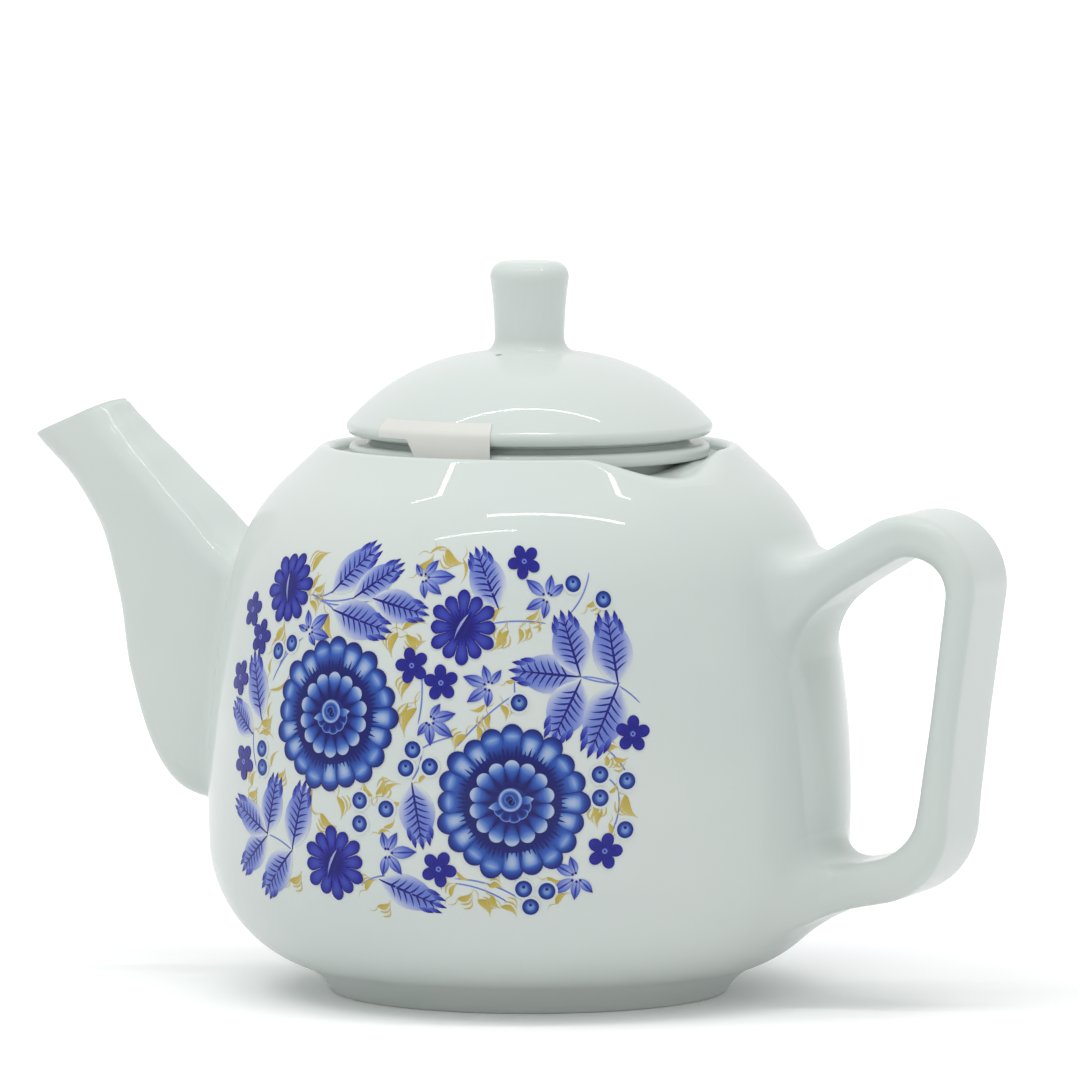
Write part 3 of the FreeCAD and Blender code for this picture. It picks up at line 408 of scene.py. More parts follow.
# Handle line, its bends and its section
HANDLE_LINE = ((58.9, 86.4), (106.9, 114.6), (96.1, 30.6), (60.0, 23.4))
HANDLE_BENDS = (12.0, 15.0)
HANDLE_WIDTH = 27.0
HANDLE_CORNER = 3.4
HANDLE_FLARE = 3.0
FLARE_START = 6.0
FLARE_LENGTH = 18.0
HANDLE_FILLET = 7.0
# The strap's thickness at shares of the way along its line: arm, upper bend, limb, lower bend and arm.
HANDLE_THICKNESS = ((0.0, 9.6), (0.24, 9.2), (0.4, 6.4), (0.55, 6.0), (0.66, 6.6), (0.8, 9.6), (1.0, 9.0))

# The most of a section's half that its corner takes, the points round the section, and the rows
# along the spout, its inside and the handle
CORNER_SHARE = 0.9
CORNER_STEPS = 9
FLAT_STEPS = 5
SPOUT_STEPS = 300
SPOUT_ROWS = 110
CHANNEL_ROWS = 60
BORE_ROWS = 40
LIP_STEPS = 9
LIP_CUT = 4
HANDLE_STEP = 0.5
HANDLE_ROWS = 260


def rounded_section(half_height, half_width, corner):
    """Points of a rounded rectangle as (across, up), and the directions that its edge faces."""
    points = []
    faces = []
    corner = min(corner, CORNER_SHARE * half_height, CORNER_SHARE * half_width)
    sides = ((1, 1), (-1, 1), (-1, -1), (1, -1))
    middles = [(side * (half_width - corner), level * (half_height - corner)) for side, level in sides]
    for quarter, (middle, beyond) in enumerate(zip(middles, middles[1:] + middles[:1])):
        turns = np.linspace(90 * quarter, 90 * quarter + 90, CORNER_STEPS)
        points += [polar(middle, corner, turn) for turn in turns]
        faces += [polar((0, 0), 1, turn) for turn in turns]
        last = points[-1]
        after = polar(beyond, corner, turns[-1])
        points += [between(last, after, share) for share in np.linspace(0, 1, FLAT_STEPS + 2)[1:-1]]
        faces += [polar((0, 0), 1, turns[-1])] * FLAT_STEPS
    return np.array(points), np.array(faces)


def tube_rows(stations, corner):
    """Rings of points, and the ways they face, for stations of x, z, height, width and lean."""
    rings = []
    ways = []
    for x, z, height, width, lean in stations:
        section, facing = rounded_section(height / 2, width / 2, corner)
        turn = math.radians(lean)
        up = np.array([math.sin(turn), 0.0, math.cos(turn)])
        across = np.array([0.0, 1.0, 0.0])
        rings.append(np.array([x, 0.0, z]) + section[:, :1] * across + section[:, 1:] * up)
        ways.append(facing[:, :1] * across + facing[:, 1:] * up)
    return np.array(rings), np.array(ways)


def smooth_stations(stations, rows):
    """More stations on smooth curves through the given ones."""
    known = np.array(stations, float)
    at = run_lengths(known[:, :2])
    slopes = np.gradient(known, at, axis=0)
    wanted = np.linspace(0.0, at[-1], rows)
    index = np.clip(np.searchsorted(at, wanted, side="right") - 1, 0, len(at) - 2)
    width = (at[index + 1] - at[index])[:, None]
    share = (wanted[:, None] - at[index][:, None]) / width
    before, after = known[index], known[index + 1]
    start, end = slopes[index] * width, slopes[index + 1] * width
    square, cube = share ** 2, share ** 3
    return (
        (2 * cube - 3 * square + 1) * before + (cube - 2 * square + share) * start
        + (3 * square - 2 * cube) * after + (cube - square) * end
    )


def on_vessel(point):
    """The point of the vessel's side at the same height and turn."""
    scale = side_radius(point[2]) / math.hypot(point[0], point[1])
    return np.array([point[0] * scale, point[1] * scale, point[2]])


FILLET_ROWS = 16
PROUD = 0.02
SKIRT_REACH = 1.6
SUNK = 0.16


def root_fillet(line, way, size):
    """Ends a line of points that starts inside the vessel in a soft curve on the vessel's side.

    Returns the fillet's points, from the vessel's side outwards, and the rest of the line."""
    reach = np.hypot(line[:, 0], line[:, 1]) - side_radius(line[:, 2])
    outside = int(np.argmax(reach > 0))
    share = -reach[outside - 1] / (reach[outside] - reach[outside - 1])
    hit = line[outside - 1] + share * (line[outside] - line[outside - 1])
    off = np.linalg.norm(line[outside:] - hit, axis=1)
    clear = outside + int(np.argmax(off > size))
    flat = unit(np.array([hit[0], hit[1], 0.0]))
    slope = side_radius(hit[2] + 0.5) - side_radius(hit[2] - 0.5)
    normal = unit(np.array([flat[0], flat[1], -slope]))
    along = unit(way[outside] - normal * (way[outside] @ normal))
    foot = on_vessel(hit + size * along) + PROUD * normal
    bend = hit + (PROUD + size ** 2 / (2 * BELLY_RADIUS)) * normal
    shares = np.linspace(0, 1, FILLET_ROWS)[:, None]
    curve = (1 - shares) ** 2 * foot + 2 * shares * (1 - shares) * bend + shares ** 2 * line[clear]
    below = on_vessel(hit + (size + SKIRT_REACH) * along) - SUNK * normal
    return np.concatenate([[below], curve]), line[clear:]


def spout_channel():
    """Rings of the spout's inside, from within the vessel's wall to the lip."""
    inner = [(x, z, height - 2 * SPOUT_WALL, width - 2 * SPOUT_WALL, lean)
             for x, z, height, width, lean in (PASSAGE_STATION,) + SPOUT_STATIONS[1:]]
    return tube_rows(smooth_stations(inner, CHANNEL_ROWS), SPOUT_CORNER - SPOUT_WALL)[0]


def make_spout(material):
    outer, ways = tube_rows(smooth_stations(SPOUT_STATIONS, SPOUT_STEPS), SPOUT_CORNER)
    inner = spout_channel()
    lean = math.radians(SPOUT_STATIONS[-1][4])
    axis = np.array([-math.cos(lean), 0.0, math.sin(lean)])
    columns = []
    for column in range(outer.shape[1]):
        fillet, rest = root_fillet(outer[:, column], ways[:, column], SPOUT_FILLET)
        rest = resampled(rest[:-LIP_CUT], SPOUT_ROWS)
        edge, back = rest[-1], inner[-LIP_CUT, column]
        middle, half = (edge + back) / 2, (edge - back) / 2
        lip = [middle + half * math.cos(turn) + LIP_BULGE * math.sin(turn) * axis
               for turn in np.linspace(0, math.pi, LIP_STEPS)[1:-1]]
        inside = inner[:1 - LIP_CUT, column][::-1]
        reach = np.hypot(inside[:, 0], inside[:, 1]) - side_radius(inside[:, 2])
        inside = resampled(inside[reach > -SUNK], BORE_ROWS)
        columns.append(np.concatenate([fillet, rest[1:], lip, inside]))
    grid = np.stack(columns, axis=1)
    rows, count = grid.shape[:2]
    faces = tube_faces(rows, count) + band_faces((rows - 1) * count, 0, count)
    faces = [face[::-1] for face in faces]
    piece = new_piece("glazed_spout", grid.reshape(-1, 3), faces, material)
    stand_for(piece, "pot", "spout")


def channel_cutter():
    """The closed form of the spout's inside, run on a little past both ends."""
    grid = spout_channel()
    return grid.reshape(-1, 3), closed_tube(*grid.shape[:2])


# The foot's wiped face: how high it reaches and how far inside the foot ring it starts
BARE_HEIGHT = 0.25
BARE_MARGIN = 0.5


def make_vessel(glaze, biscuit):
    turns = finer_turns(VESSEL_TURNS, NOTCH_TURN, NOTCH_FAN, NOTCH_SHARE)
    points, faces = revolved(vessel_outline(), turns)
    piece = new_piece("glazed_body", scoop_notch(points), faces, glaze, biscuit)
    cut_out(piece, *channel_cutter())
    for face in piece.data.polygons:
        spot = face.center / MM
        if spot.z < BARE_HEIGHT and math.hypot(spot.x, spot.y) > FOOT_INNER - BARE_MARGIN:
            face.material_index = 1
    stand_for(piece, "pot", "pot_body")


def handle_stations():
    """Stations along the handle's line: x, z, the section's height and width, and its lean."""
    first, upper, lower, last = HANDLE_LINE
    corners = [(first, 0), (upper, HANDLE_BENDS[0]), (lower, HANDLE_BENDS[1]), (last, 0)]
    path = np.array(rounded_path(corners, HANDLE_STEP))
    wanted = np.arange(0, run_lengths(path)[-1], HANDLE_STEP)
    path = at_lengths(path, wanted)
    ways = np.gradient(path, axis=0)
    stations = []
    for (x, z), (run, rise), length in zip(path, ways, wanted):
        near = min(length, wanted[-1] - length) - FLARE_START
        share = np.clip(1 - near / FLARE_LENGTH, 0, 1)
        grow = 2 * HANDLE_FLARE * share ** 3
        lean = -math.degrees(math.atan2(rise, run))
        thickness = smooth_between(HANDLE_THICKNESS, length / wanted[-1])
        stations.append((x, z, thickness + grow, HANDLE_WIDTH + grow, lean))
    return stations


def smooth_between(knots, share):
    """A value that eases from each given (share, value) to the next."""
    for (start, low), (end, high) in zip(knots, knots[1:]):
        if share <= end:
            part = (share - start) / (end - start)
            return low + (high - low) * part * part * (3 - 2 * part)
    return knots[-1][1]


def make_handle(material):
    outer, ways = tube_rows(handle_stations(), HANDLE_CORNER)
    columns = []
    for column in range(outer.shape[1]):
        line, way = outer[:, column], ways[:, column]
        upper, onward = root_fillet(line, way, HANDLE_FILLET)
        lower, _ = root_fillet(line[::-1], way[::-1], HANDLE_FILLET)
        finish = int(np.argmin(np.linalg.norm(onward - lower[-1], axis=1)))
        limb = resampled(onward[:finish + 1], HANDLE_ROWS)
        columns.append(np.concatenate([upper, limb[1:-1], lower[::-1]]))
    grid = np.stack(columns, axis=1)
    piece = new_piece("glazed_handle", grid.reshape(-1, 3), closed_tube(*grid.shape[:2]), material)
    stand_for(piece, "pot", "handle")


def infuser_outline():
    """Half section of the basket, from the middle of its underside over the flange to its floor."""
    slant = math.tan(math.radians(INFUSER_LEAN))
    stretch = 1 / math.cos(math.radians(INFUSER_LEAN))
    low = INFUSER_RADIUS - (LEDGE_Z - INFUSER_BASE) * slant
    bore = INFUSER_RADIUS + (FLANGE_TOP - LEDGE_Z) * slant - INFUSER_WALL * stretch
    inner_low = bore - (FLANGE_TOP - INFUSER_BASE - INFUSER_WALL) * slant
    return rounded_path([
        ((0.0, INFUSER_BASE), 0.0),
        ((low, INFUSER_BASE), INFUSER_ROUND),
        ((INFUSER_RADIUS, LEDGE_Z), 0.4),
        ((FLANGE_RADIUS, LEDGE_Z), 1.2),
        ((FLANGE_RADIUS, FLANGE_TOP - FLANGE_STEP), 1.2),
        ((SEAT_RADIUS + FLANGE_STEP, FLANGE_TOP - FLANGE_STEP), 0.3),
        ((SEAT_RADIUS, FLANGE_TOP), 0.3),
        ((bore, FLANGE_TOP), 0.9),
        ((inner_low, INFUSER_BASE + INFUSER_WALL), INFUSER_ROUND - INFUSER_WALL),
        ((0.0, INFUSER_BASE + INFUSER_WALL), 0.0),
    ], 2.0)


def drill_form(start, way, length, radius, sides):
    """Points and faces of a thin closed cylinder."""
    way = np.asarray(way, float)
    aside = np.array([-way[1], way[0], 0.0]) if abs(way[2]) < 0.5 else np.array([1.0, 0.0, 0.0])
    other = np.cross(way, aside)
    angles = np.radians(even_turns(sides))
    ring = radius * (np.cos(angles)[:, None] * aside + np.sin(angles)[:, None] * other)
    points = np.concatenate([np.asarray(start) + ring, np.asarray(start) + length * way + ring])
    return points, closed_tube(2, sides)


def merged(forms):
    """Several forms as one list of points and one of faces."""
    points = []
    faces = []
    for form_points, form_faces in forms:
        start = sum(len(group) for group in points)
        points.append(form_points)
        faces += [tuple(start + index for index in face) for face in form_faces]
    return np.concatenate(points), faces


# Drills for the basket's side, from the axis, and the sides of its round holes and of the lid's vent
DRILL_START = 0.7 * INFUSER_RADIUS
DRILL_LENGTH = 0.5 * INFUSER_RADIUS
HOLE_SIDES = 14
VENT_SIDES = 24
VENT_LENGTH = 40.0
UP = (0.0, 0.0, 1.0)


def infuser_drills():
    drills = []
    for ring in range(HOLE_RINGS):
        height = INFUSER_BASE + HOLE_LOW + ring * HOLE_PITCH
        for step in range(HOLE_COUNT):
            turn = math.radians(360 * (step + ring % 2 / 2) / HOLE_COUNT)
            way = (math.cos(turn), math.sin(turn), 0.0)
            start = (DRILL_START * way[0], DRILL_START * way[1], height)
            drills.append(drill_form(start, way, DRILL_LENGTH, HOLE_RADIUS, HOLE_SIDES))
    spots = [(0.0, 0.0)]
    for ring in (1, 2):
        spots += [polar((0, 0), ring * FLOOR_RING, turn) for turn in even_turns(ring * FLOOR_COUNT)]
    for x, y in spots:
        start = (x, y, INFUSER_BASE - INFUSER_WALL)
        drills.append(drill_form(start, UP, 3 * INFUSER_WALL, HOLE_RADIUS, HOLE_SIDES))
    return merged(drills)


# A small turn that keeps the drills off the basket's own mesh lines
DRILL_CLEAR = 0.37


def make_infuser(material):
    points, faces = revolved(infuser_outline(), even_turns(INFUSER_TURNS) + DRILL_CLEAR)
    piece = new_piece("glazed_infuser", points, faces, material)
    cut_out(piece, *infuser_drills())
    stand_for(piece, "infuser", "infuser")


LIP_Z = FLANGE_TOP + LID_GAP
EDGE_CENTRE = (LID_RADIUS - LID_EDGE, LIP_Z + LID_EDGE)
DOME = (
    DOME_OFFSET,
    EDGE_CENTRE[1] - math.sqrt((DOME_RADIUS - LID_EDGE) ** 2 - (EDGE_CENTRE[0] - DOME_OFFSET) ** 2),
)
KNOB_BASE = DOME[1] + math.sqrt((DOME_RADIUS + NECK_COVE) ** 2 - (NECK_RADIUS + NECK_COVE - DOME_OFFSET) ** 2)


def lid_outline():
    """Half section of the lid, from the middle of its collar over the edge to its ceiling."""
    cove = (NECK_RADIUS + NECK_COVE, KNOB_BASE)
    skirt_z = FLANGE_TOP - SKIRT_DEPTH
    inner = SKIRT_RADIUS - SKIRT_WALL
    shell = DOME_RADIUS - LID_WALL
    shell_turn = math.degrees(math.acos((inner - DOME[0]) / shell))
    step = rounded_path([
        ((EDGE_CENTRE[0], LIP_Z), 0.0),
        ((SEAT_RADIUS, LIP_Z), 0.2),
        ((SEAT_RADIUS, FLANGE_TOP), 0.3),
        ((SKIRT_RADIUS, FLANGE_TOP), 0.4),
        ((SKIRT_RADIUS, skirt_z), 1.2),
        ((inner, skirt_z), 1.2),
        (polar(DOME, shell, shell_turn), 0.0),
    ], 1.0)
    return joined(
        subdivided([(0.0, KNOB_BASE), (NECK_RADIUS, KNOB_BASE)], 2.0),
        arc(cove, NECK_COVE, 180.0, heading(cove, DOME) % 360, 0.3),
        arc(DOME, DOME_RADIUS, heading(DOME, cove), heading(DOME, EDGE_CENTRE), 0.6),
        arc(EDGE_CENTRE, LID_EDGE, heading(DOME, EDGE_CENTRE), -90.0, 0.25),
        step,
        arc(DOME, shell, shell_turn, 90.0, 1.5),
        [(0.0, DOME[1] + shell)],
    )


def make_lid(material):
    points, faces = revolved(lid_outline()[::-1], even_turns(LID_TURNS))
    piece = new_piece("glazed_lid", points, faces, material)
    spot = polar((0, 0), VENT_REACH, VENT_TURN)
    cut_out(piece, *drill_form((*spot, LIP_Z), UP, VENT_LENGTH, VENT_RADIUS, VENT_SIDES))
    stand_for(piece, "lid", "lid")


def make_knob(material):
    waist = (NECK_RADIUS + KNOB_SIDE, KNOB_BASE)
    top = KNOB_BASE + KNOB_HEIGHT
    cap_z = top - KNOB_ROUND
    cap = (waist[0] - math.sqrt((KNOB_SIDE + KNOB_ROUND) ** 2 - (cap_z - KNOB_BASE) ** 2), cap_z)
    outline = joined(
        subdivided([(0.0, KNOB_BASE), (NECK_RADIUS, KNOB_BASE)], 2.0),
        arc(waist, KNOB_SIDE, 180.0, heading(waist, cap), 0.5),
        arc(cap, KNOB_ROUND, heading(cap, waist), 90.0, 0.25),
        subdivided([(cap[0], top), (0.0, top)], 1.0),
    )
    points, faces = revolved(outline, even_turns(KNOB_TURNS))
    piece = new_piece("glazed_knob", points, faces, material)
    stand_for(piece, "lid", "lid_knob")


# Packing tape, a strip along the lid's edge with a tab that hangs from it
TAPE_TURNS = (-123.0, -81.0)
TAB_TURNS = (-110.0, -106.0)
TAPE_LOW = 119.1
STRIP_LOW = 124.0
TAPE_LAP = 2.6
TAPE_GAP = 0.04
TAPE_THICKNESS = 0.2
TAPE_COLUMNS = 64
TAPE_ROWS = 24


def grid_border(rows, columns):
    """The rows and columns of a grid's outer points, in order around it."""
    border = [(0, column) for column in range(columns)]
    border += [(row, columns - 1) for row in range(1, rows)]
    border += [(rows - 1, column) for column in range(columns - 2, -1, -1)]
    return border + [(row, 0) for row in range(rows - 2, 0, -1)]


def make_tape(material):
    """A thin white strip that follows the lid's edge, with a tab down over the flange on its right."""
    turns = np.linspace(*TAPE_TURNS, TAPE_COLUMNS)
    edge_turn = heading(DOME, EDGE_CENTRE)
    edge_length = math.radians(edge_turn) * LID_EDGE
    sheets = []
    for gap in (TAPE_GAP + TAPE_THICKNESS, TAPE_GAP):
        columns = []
        for turn in turns:
            low = np.interp(turn, TAB_TURNS, (STRIP_LOW, TAPE_LOW)) - EDGE_CENTRE[1]
            column = []
            for reach in np.linspace(low, edge_length + TAPE_LAP, TAPE_ROWS):
                if reach < 0:
                    radius, z = LID_RADIUS + gap, EDGE_CENTRE[1] + reach
                elif reach < edge_length:
                    radius, z = polar(EDGE_CENTRE, LID_EDGE + gap, math.degrees(reach / LID_EDGE))
                else:
                    over = math.degrees((reach - edge_length) / DOME_RADIUS)
                    radius, z = polar(DOME, DOME_RADIUS + gap, edge_turn + over)
                column.append((*polar((0, 0), radius, turn), z))
            columns.append(column)
        sheets.append(np.array(columns))
    count, rows = sheets[0].shape[:2]
    number = np.arange(2 * count * rows).reshape(2, count, rows)
    faces = []
    for column in range(count - 1):
        for row in range(rows - 1):
            corners = ((column, row), (column + 1, row), (column + 1, row + 1), (column, row + 1))
            faces.append(tuple(int(number[0][corner]) for corner in corners))
            faces.append(tuple(int(number[1][corner]) for corner in corners[::-1]))
    border = [(column, row) for row, column in grid_border(rows, count)]
    for first, second in zip(border, border[1:] + border[:1]):
        ends = (number[0][second], number[0][first], number[1][first], number[1][second])
        faces.append(tuple(int(end) for end in ends))
    points = np.concatenate([sheet.reshape(-1, 3) for sheet in sheets])
    piece = new_piece("tape_strip", points, faces, material)
    stand_for(piece, "lid", "packing_tape")


def new_material(name):
    material = bpy.data.materials.new(name)
    material.use_nodes = True
    nodes = material.node_tree.nodes
    return material, nodes, material.node_tree.links, nodes["Principled BSDF"]


def set_inputs(node, **values):
    """Sets a node's inputs, each named with an underscore for a space."""
    for name, value in values.items():
        node.inputs[name.replace("_", " ")].default_value = value


def add_node(nodes, kind, **values):
    node = nodes.new(f"ShaderNode{kind}")
    set_inputs(node, **values)
    return node


def add_ramp(nodes, stops):
    """A colour ramp through stops of a position and a colour."""
    ramp = add_node(nodes, "ValToRGB")
    elements = ramp.color_ramp.elements
    for _ in range(len(stops) - len(elements)):
        elements.new(0.5)
    for element, (position, colour) in zip(elements, stops):
        element.position = position
        element.color = (*colour, 1)
    return ramp


def mottled(name, stops, **noise):
    """A material whose colour wanders through the stops with a noise, and what it is made of."""
    material, nodes, links, shader = new_material(name)
    cloud = add_node(nodes, "TexNoise", **noise)
    tint = add_ramp(nodes, stops)
    links.new(cloud.outputs["Fac"], tint.inputs["Fac"])
    links.new(tint.outputs["Color"], shader.inputs["Base Color"])
    return material, nodes, links, shader, cloud


PORCELAIN_TINTS = ((0.3, (0.66, 0.72, 0.695)), (0.7, (0.70, 0.745, 0.72)))
FILM_TINTS = ((0.0, (0.72, 0.72, 0.68)), (1.0, (0.80, 0.80, 0.76)))
BISCUIT_TINTS = ((0.0, (0.62, 0.60, 0.56)), (1.0, (0.76, 0.74, 0.70)))
FILM_ROUGHNESS = 0.42
BISCUIT_ROUGHNESS = 0.85
# The clear glaze over white ware and painted colours alike
GLAZE = {"Roughness": 0.3, "Specular_IOR_Level": 0.05, "Coat_Weight": 0.45, "Coat_Roughness": 0.025}


def porcelain():
    """White glazed porcelain with a cool cast, faint cloudiness and a clear gloss."""
    ware = mottled("porcelain_glaze", PORCELAIN_TINTS, Scale=18.0, Detail=3.0)
    material, nodes, links, shader, cloud = ware
    place = add_node(nodes, "TexCoord")
    links.new(place.outputs["Object"], cloud.inputs["Vector"])
    set_inputs(shader, **GLAZE)
    return material


def white_film():
    """White plastic tape, a little wrinkled."""
    material, nodes, links, shader, wrinkle = mottled("white_film", FILM_TINTS, Scale=260.0, Detail=1.0)
    bump = add_node(nodes, "Bump", Strength=0.12, Distance=0.0005)
    links.new(wrinkle.outputs["Fac"], bump.inputs["Height"])
    links.new(bump.outputs["Normal"], shader.inputs["Normal"])
    set_inputs(shader, Roughness=FILM_ROUGHNESS)
    return material


def biscuit_ware():
    """Bare fired porcelain where the foot was wiped clean of glaze."""
    material, _, _, shader, _ = mottled("bare_biscuit", BISCUIT_TINTS, Scale=900.0)
    set_inputs(shader, Roughness=BISCUIT_ROUGHNESS)
    return material


# Painted flowers. Places on the vessel's side are (u, v): millimetres to the right along the belly
# and up the side, from the ornament's middle. The back carries the same ornament as the front.
PAINT_TURNS = {"front": -92.0, "back": 88.0}
PAINT_HEIGHT = 64.0
PAINT_LIFT = 0.03
LAYER_LIFT = 0.01
FLAKE_SUNK = 0.03
LEAST_SHARE = 0.06
COBALT, VIOLET, OCHRE = range(3)
# On the bake's picture each ink has a row, with the tone along it
BAKE_MARGIN = 0.03
BAKE_SPAN = 0.3

DAHLIA_RADIUS = 17.0
DAHLIAS = ((-17.5, 2.5), (25.0, -15.0))
ASTER_RADIUS = 8.2
ASTERS = ((-36.0, 29.0, 100), (-16.5, -29.5, 65), (13.5, 22.5, 60))
PHLOX_RADIUS = 4.0
PHLOXES = (
    (-50.5, 23), (-44.5, 17.5), (-52, 8), (-47, -10), (27.5, 37), (2, 14), (9, 10.5), (51.5, -0.5),
    (45, -25.5), (9, -29.5),
)
# Narrow-petalled flowers: the middle and the petals' tips.
STARS = (
    ((-27, 20), (-28, 24.5), (-21.5, 24), (-20.5, 19), (-24.5, 17), (-30.5, 21)),
    ((3, 33), (6.5, 37), (11, 33.5), (8, 29.5), (4, 28.5), (1, 36)),
    ((6.5, 2.5), (7, -3), (12, -1), (4, -1), (9, 6), (12.5, 4)),
    ((33, 29), (28, 33), (34, 34), (37, 32), (28, 26.5), (32, 24.5)),
    ((20, 10), (14, 12), (18.5, 14.5), (22.5, 13.5), (15, 6.5), (19.5, 5.5)),
    ((-3, -26.5), (-0.5, -22), (4, -26), (0.5, -31), (-4, -31.5), (-4, -22)),
    ((39, -31), (34, -28), (37.5, -26.5), (33.5, -34.5), (38.5, -36), (42.5, -34.5)),
)
# Leaves: base, tip and width.
LEAVES = (
    ((-21, 29), (-10, 40), 7.5), ((-14.5, 28), (-2.5, 36), 6.2), ((-9, 28), (5, 25), 6.4),
    ((-20, 25), (-4, 21), 7.6), ((-40.5, 0), (-46.5, 14), 7.4), ((-44, -3.5), (-54, 2.5), 6.2),
    ((21.5, 27), (15.5, 40), 7.6), ((40, 12.5), (36, 26), 7.8), ((48.5, 10.5), (46.5, 26), 8.4),
    ((39.5, 12), (24.5, 13.5), 7.6), ((40, 11), (33.5, -2), 8.2), ((48.5, 10), (41.5, -5), 8.6),
    ((-37, -24.5), (-33.5, -11.5), 6.6), ((-28.5, -27), (-24.5, -12.5), 7.2),
    ((-37.5, -24.5), (-50.5, -18.5), 6.6), ((-37.5, -25.5), (-48.5, -34), 6.4),
    ((-29, -28), (-40, -38.5), 7.0), ((3, -11.5), (5.5, -25), 7.4), ((-4.5, -32.5), (10, -38), 6.8),
)
BERRY_RADIUS = 1.85
BERRIES = (
    (-36.5, 15), (-32, 17), (-39.5, -6.5), (-39, -10.5), (3, -4), (1.5, -8), (7, -7.5), (-9.5, -15.5),
    (-3, -17), (-9.5, -20.5), (39, 32), (46, 28.5), (26.5, 6.5), (44, -9), (50, -10.5), (44, -14),
    (49.5, -21), (27.5, -33.5), (32.5, -34), (29, -37.5),
)
# Ochre brush strokes: the thick end, the thin end and the width.
COMMAS = (
    ((-29, 33), (-24.5, 37.5), 2.0), ((-28.5, 29.5), (-27, 33), 0.9), ((-27.5, 29.5), (-25.5, 32.5), 1.1),
    ((-27, 29), (-24, 31), 1.5), ((-28, 26.5), (-25.5, 23.5), 1.5), ((-39, 17), (-36, 22), 1.2),
    ((-38, 17), (-35.5, 20.5), 1.0), ((-21.5, 24), (-19, 18.5), 1.8), ((-39, 10), (-38.5, 13.5), 0.9),
    ((-38, 6.5), (-31.5, 11), 0.8), ((-38, 0.5), (-37, 4), 0.8), ((-40.5, -1), (-36.5, 1), 2.0),
    ((-41, -3.5), (-35.5, -4), 0.9), ((1.5, 35), (5, 38.5), 2.2), ((4, 38.5), (9, 39.5), 0.7),
    ((8, 39.5), (13, 36.5), 2.4), ((12.5, 37.5), (12.5, 32), 0.8), ((-2, 21), (-3, 15.5), 2.0),
    ((-1, 21.5), (5, 23), 1.5), ((0, 20.5), (5, 19.5), 1.9), ((0.5, 19.5), (2.5, 16.5), 1.5),
    ((2, 10.5), (0, 6.5), 1.4), ((1.5, 6), (-3, 2.5), 0.9), ((3.5, 5), (1, -1.5), 2.2),
    ((20.5, 24), (23, 27), 1.2), ((28, 24.5), (31, 27), 1.2), ((22, 22), (20, 17.5), 1.7),
    ((24, 22), (23, 18), 1.5), ((26.5, 22.5), (26, 19), 1.3), ((29, 22.5), (28.5, 20), 1.0),
    ((31, 23), (30.5, 21.5), 0.8), ((23.5, 11), (26, 12), 0.9), ((22.5, 6), (23.5, 2.5), 1.5),
    ((20, 4), (20.5, 0.5), 1.4), ((17.5, 1.5), (17, -2), 1.4), ((15, -0.5), (12.5, -4), 1.8),
    ((19, 6), (15.5, 5), 1.1), ((42, 27), (44.5, 29.5), 1.2), ((-36, -10), (-33.5, -6.5), 0.9),
    ((-33.5, -12), (-31, -10), 1.2), ((-43.5, -15), (-41.5, -11.5), 1.4), ((-44.5, -17), (-41, -15), 1.8),
    ((-22, -13), (-16, -14.5), 1.5), ((-22.5, -14), (-21.5, -19.5), 1.3), ((-15.5, -15), (-14.5, -20), 1.5),
    ((-20, -19), (-15.5, -21.5), 2.0), ((-6.5, -14.5), (-8.5, -11), 1.3), ((-5.5, -14), (-4, -10), 1.5),
    ((-4, -14.5), (0.5, -11.5), 1.3), ((-2, -15.5), (1, -15), 1.0), ((4.5, -11), (7, -9.5), 1.0),
    ((-3.5, -21), (-1, -19), 1.0), ((-5, -22.5), (-2, -22), 0.9), ((-30, -34.5), (-26, -32), 1.8),
    ((-8.5, -35), (-5.5, -32.5), 1.5), ((-6, -38.5), (-2.5, -37), 1.5), ((45.5, -4), (48.5, -3.5), 1.4),
    ((47, -5.5), (50.5, -5.5), 1.2), ((45.5, -5), (44.5, -8), 1.2), ((49.5, -13.5), (52.5, -18.5), 2.4),
    ((43, -15), (41.5, -18.5), 1.5), ((44.5, -17), (43.5, -20.5), 1.4), ((46, -19.5), (45.5, -23), 1.2),
    ((46, -13), (47.5, -11), 0.9), ((11.5, -35.5), (13.5, -32.5), 1.2), ((13, -36), (16.5, -34), 1.6),
    ((17.5, -36), (20, -40), 2.2), ((20.5, -35), (22.5, -38), 1.7), ((22.5, -37.5), (26, -40), 1.5),
    ((13, -30), (16, -31.5), 0.9), ((20, -33), (23, -33.5), 1.5), ((32.5, -31), (36, -31.5), 1.3),
    ((34.5, -37), (37.5, -34.5), 1.6),
)
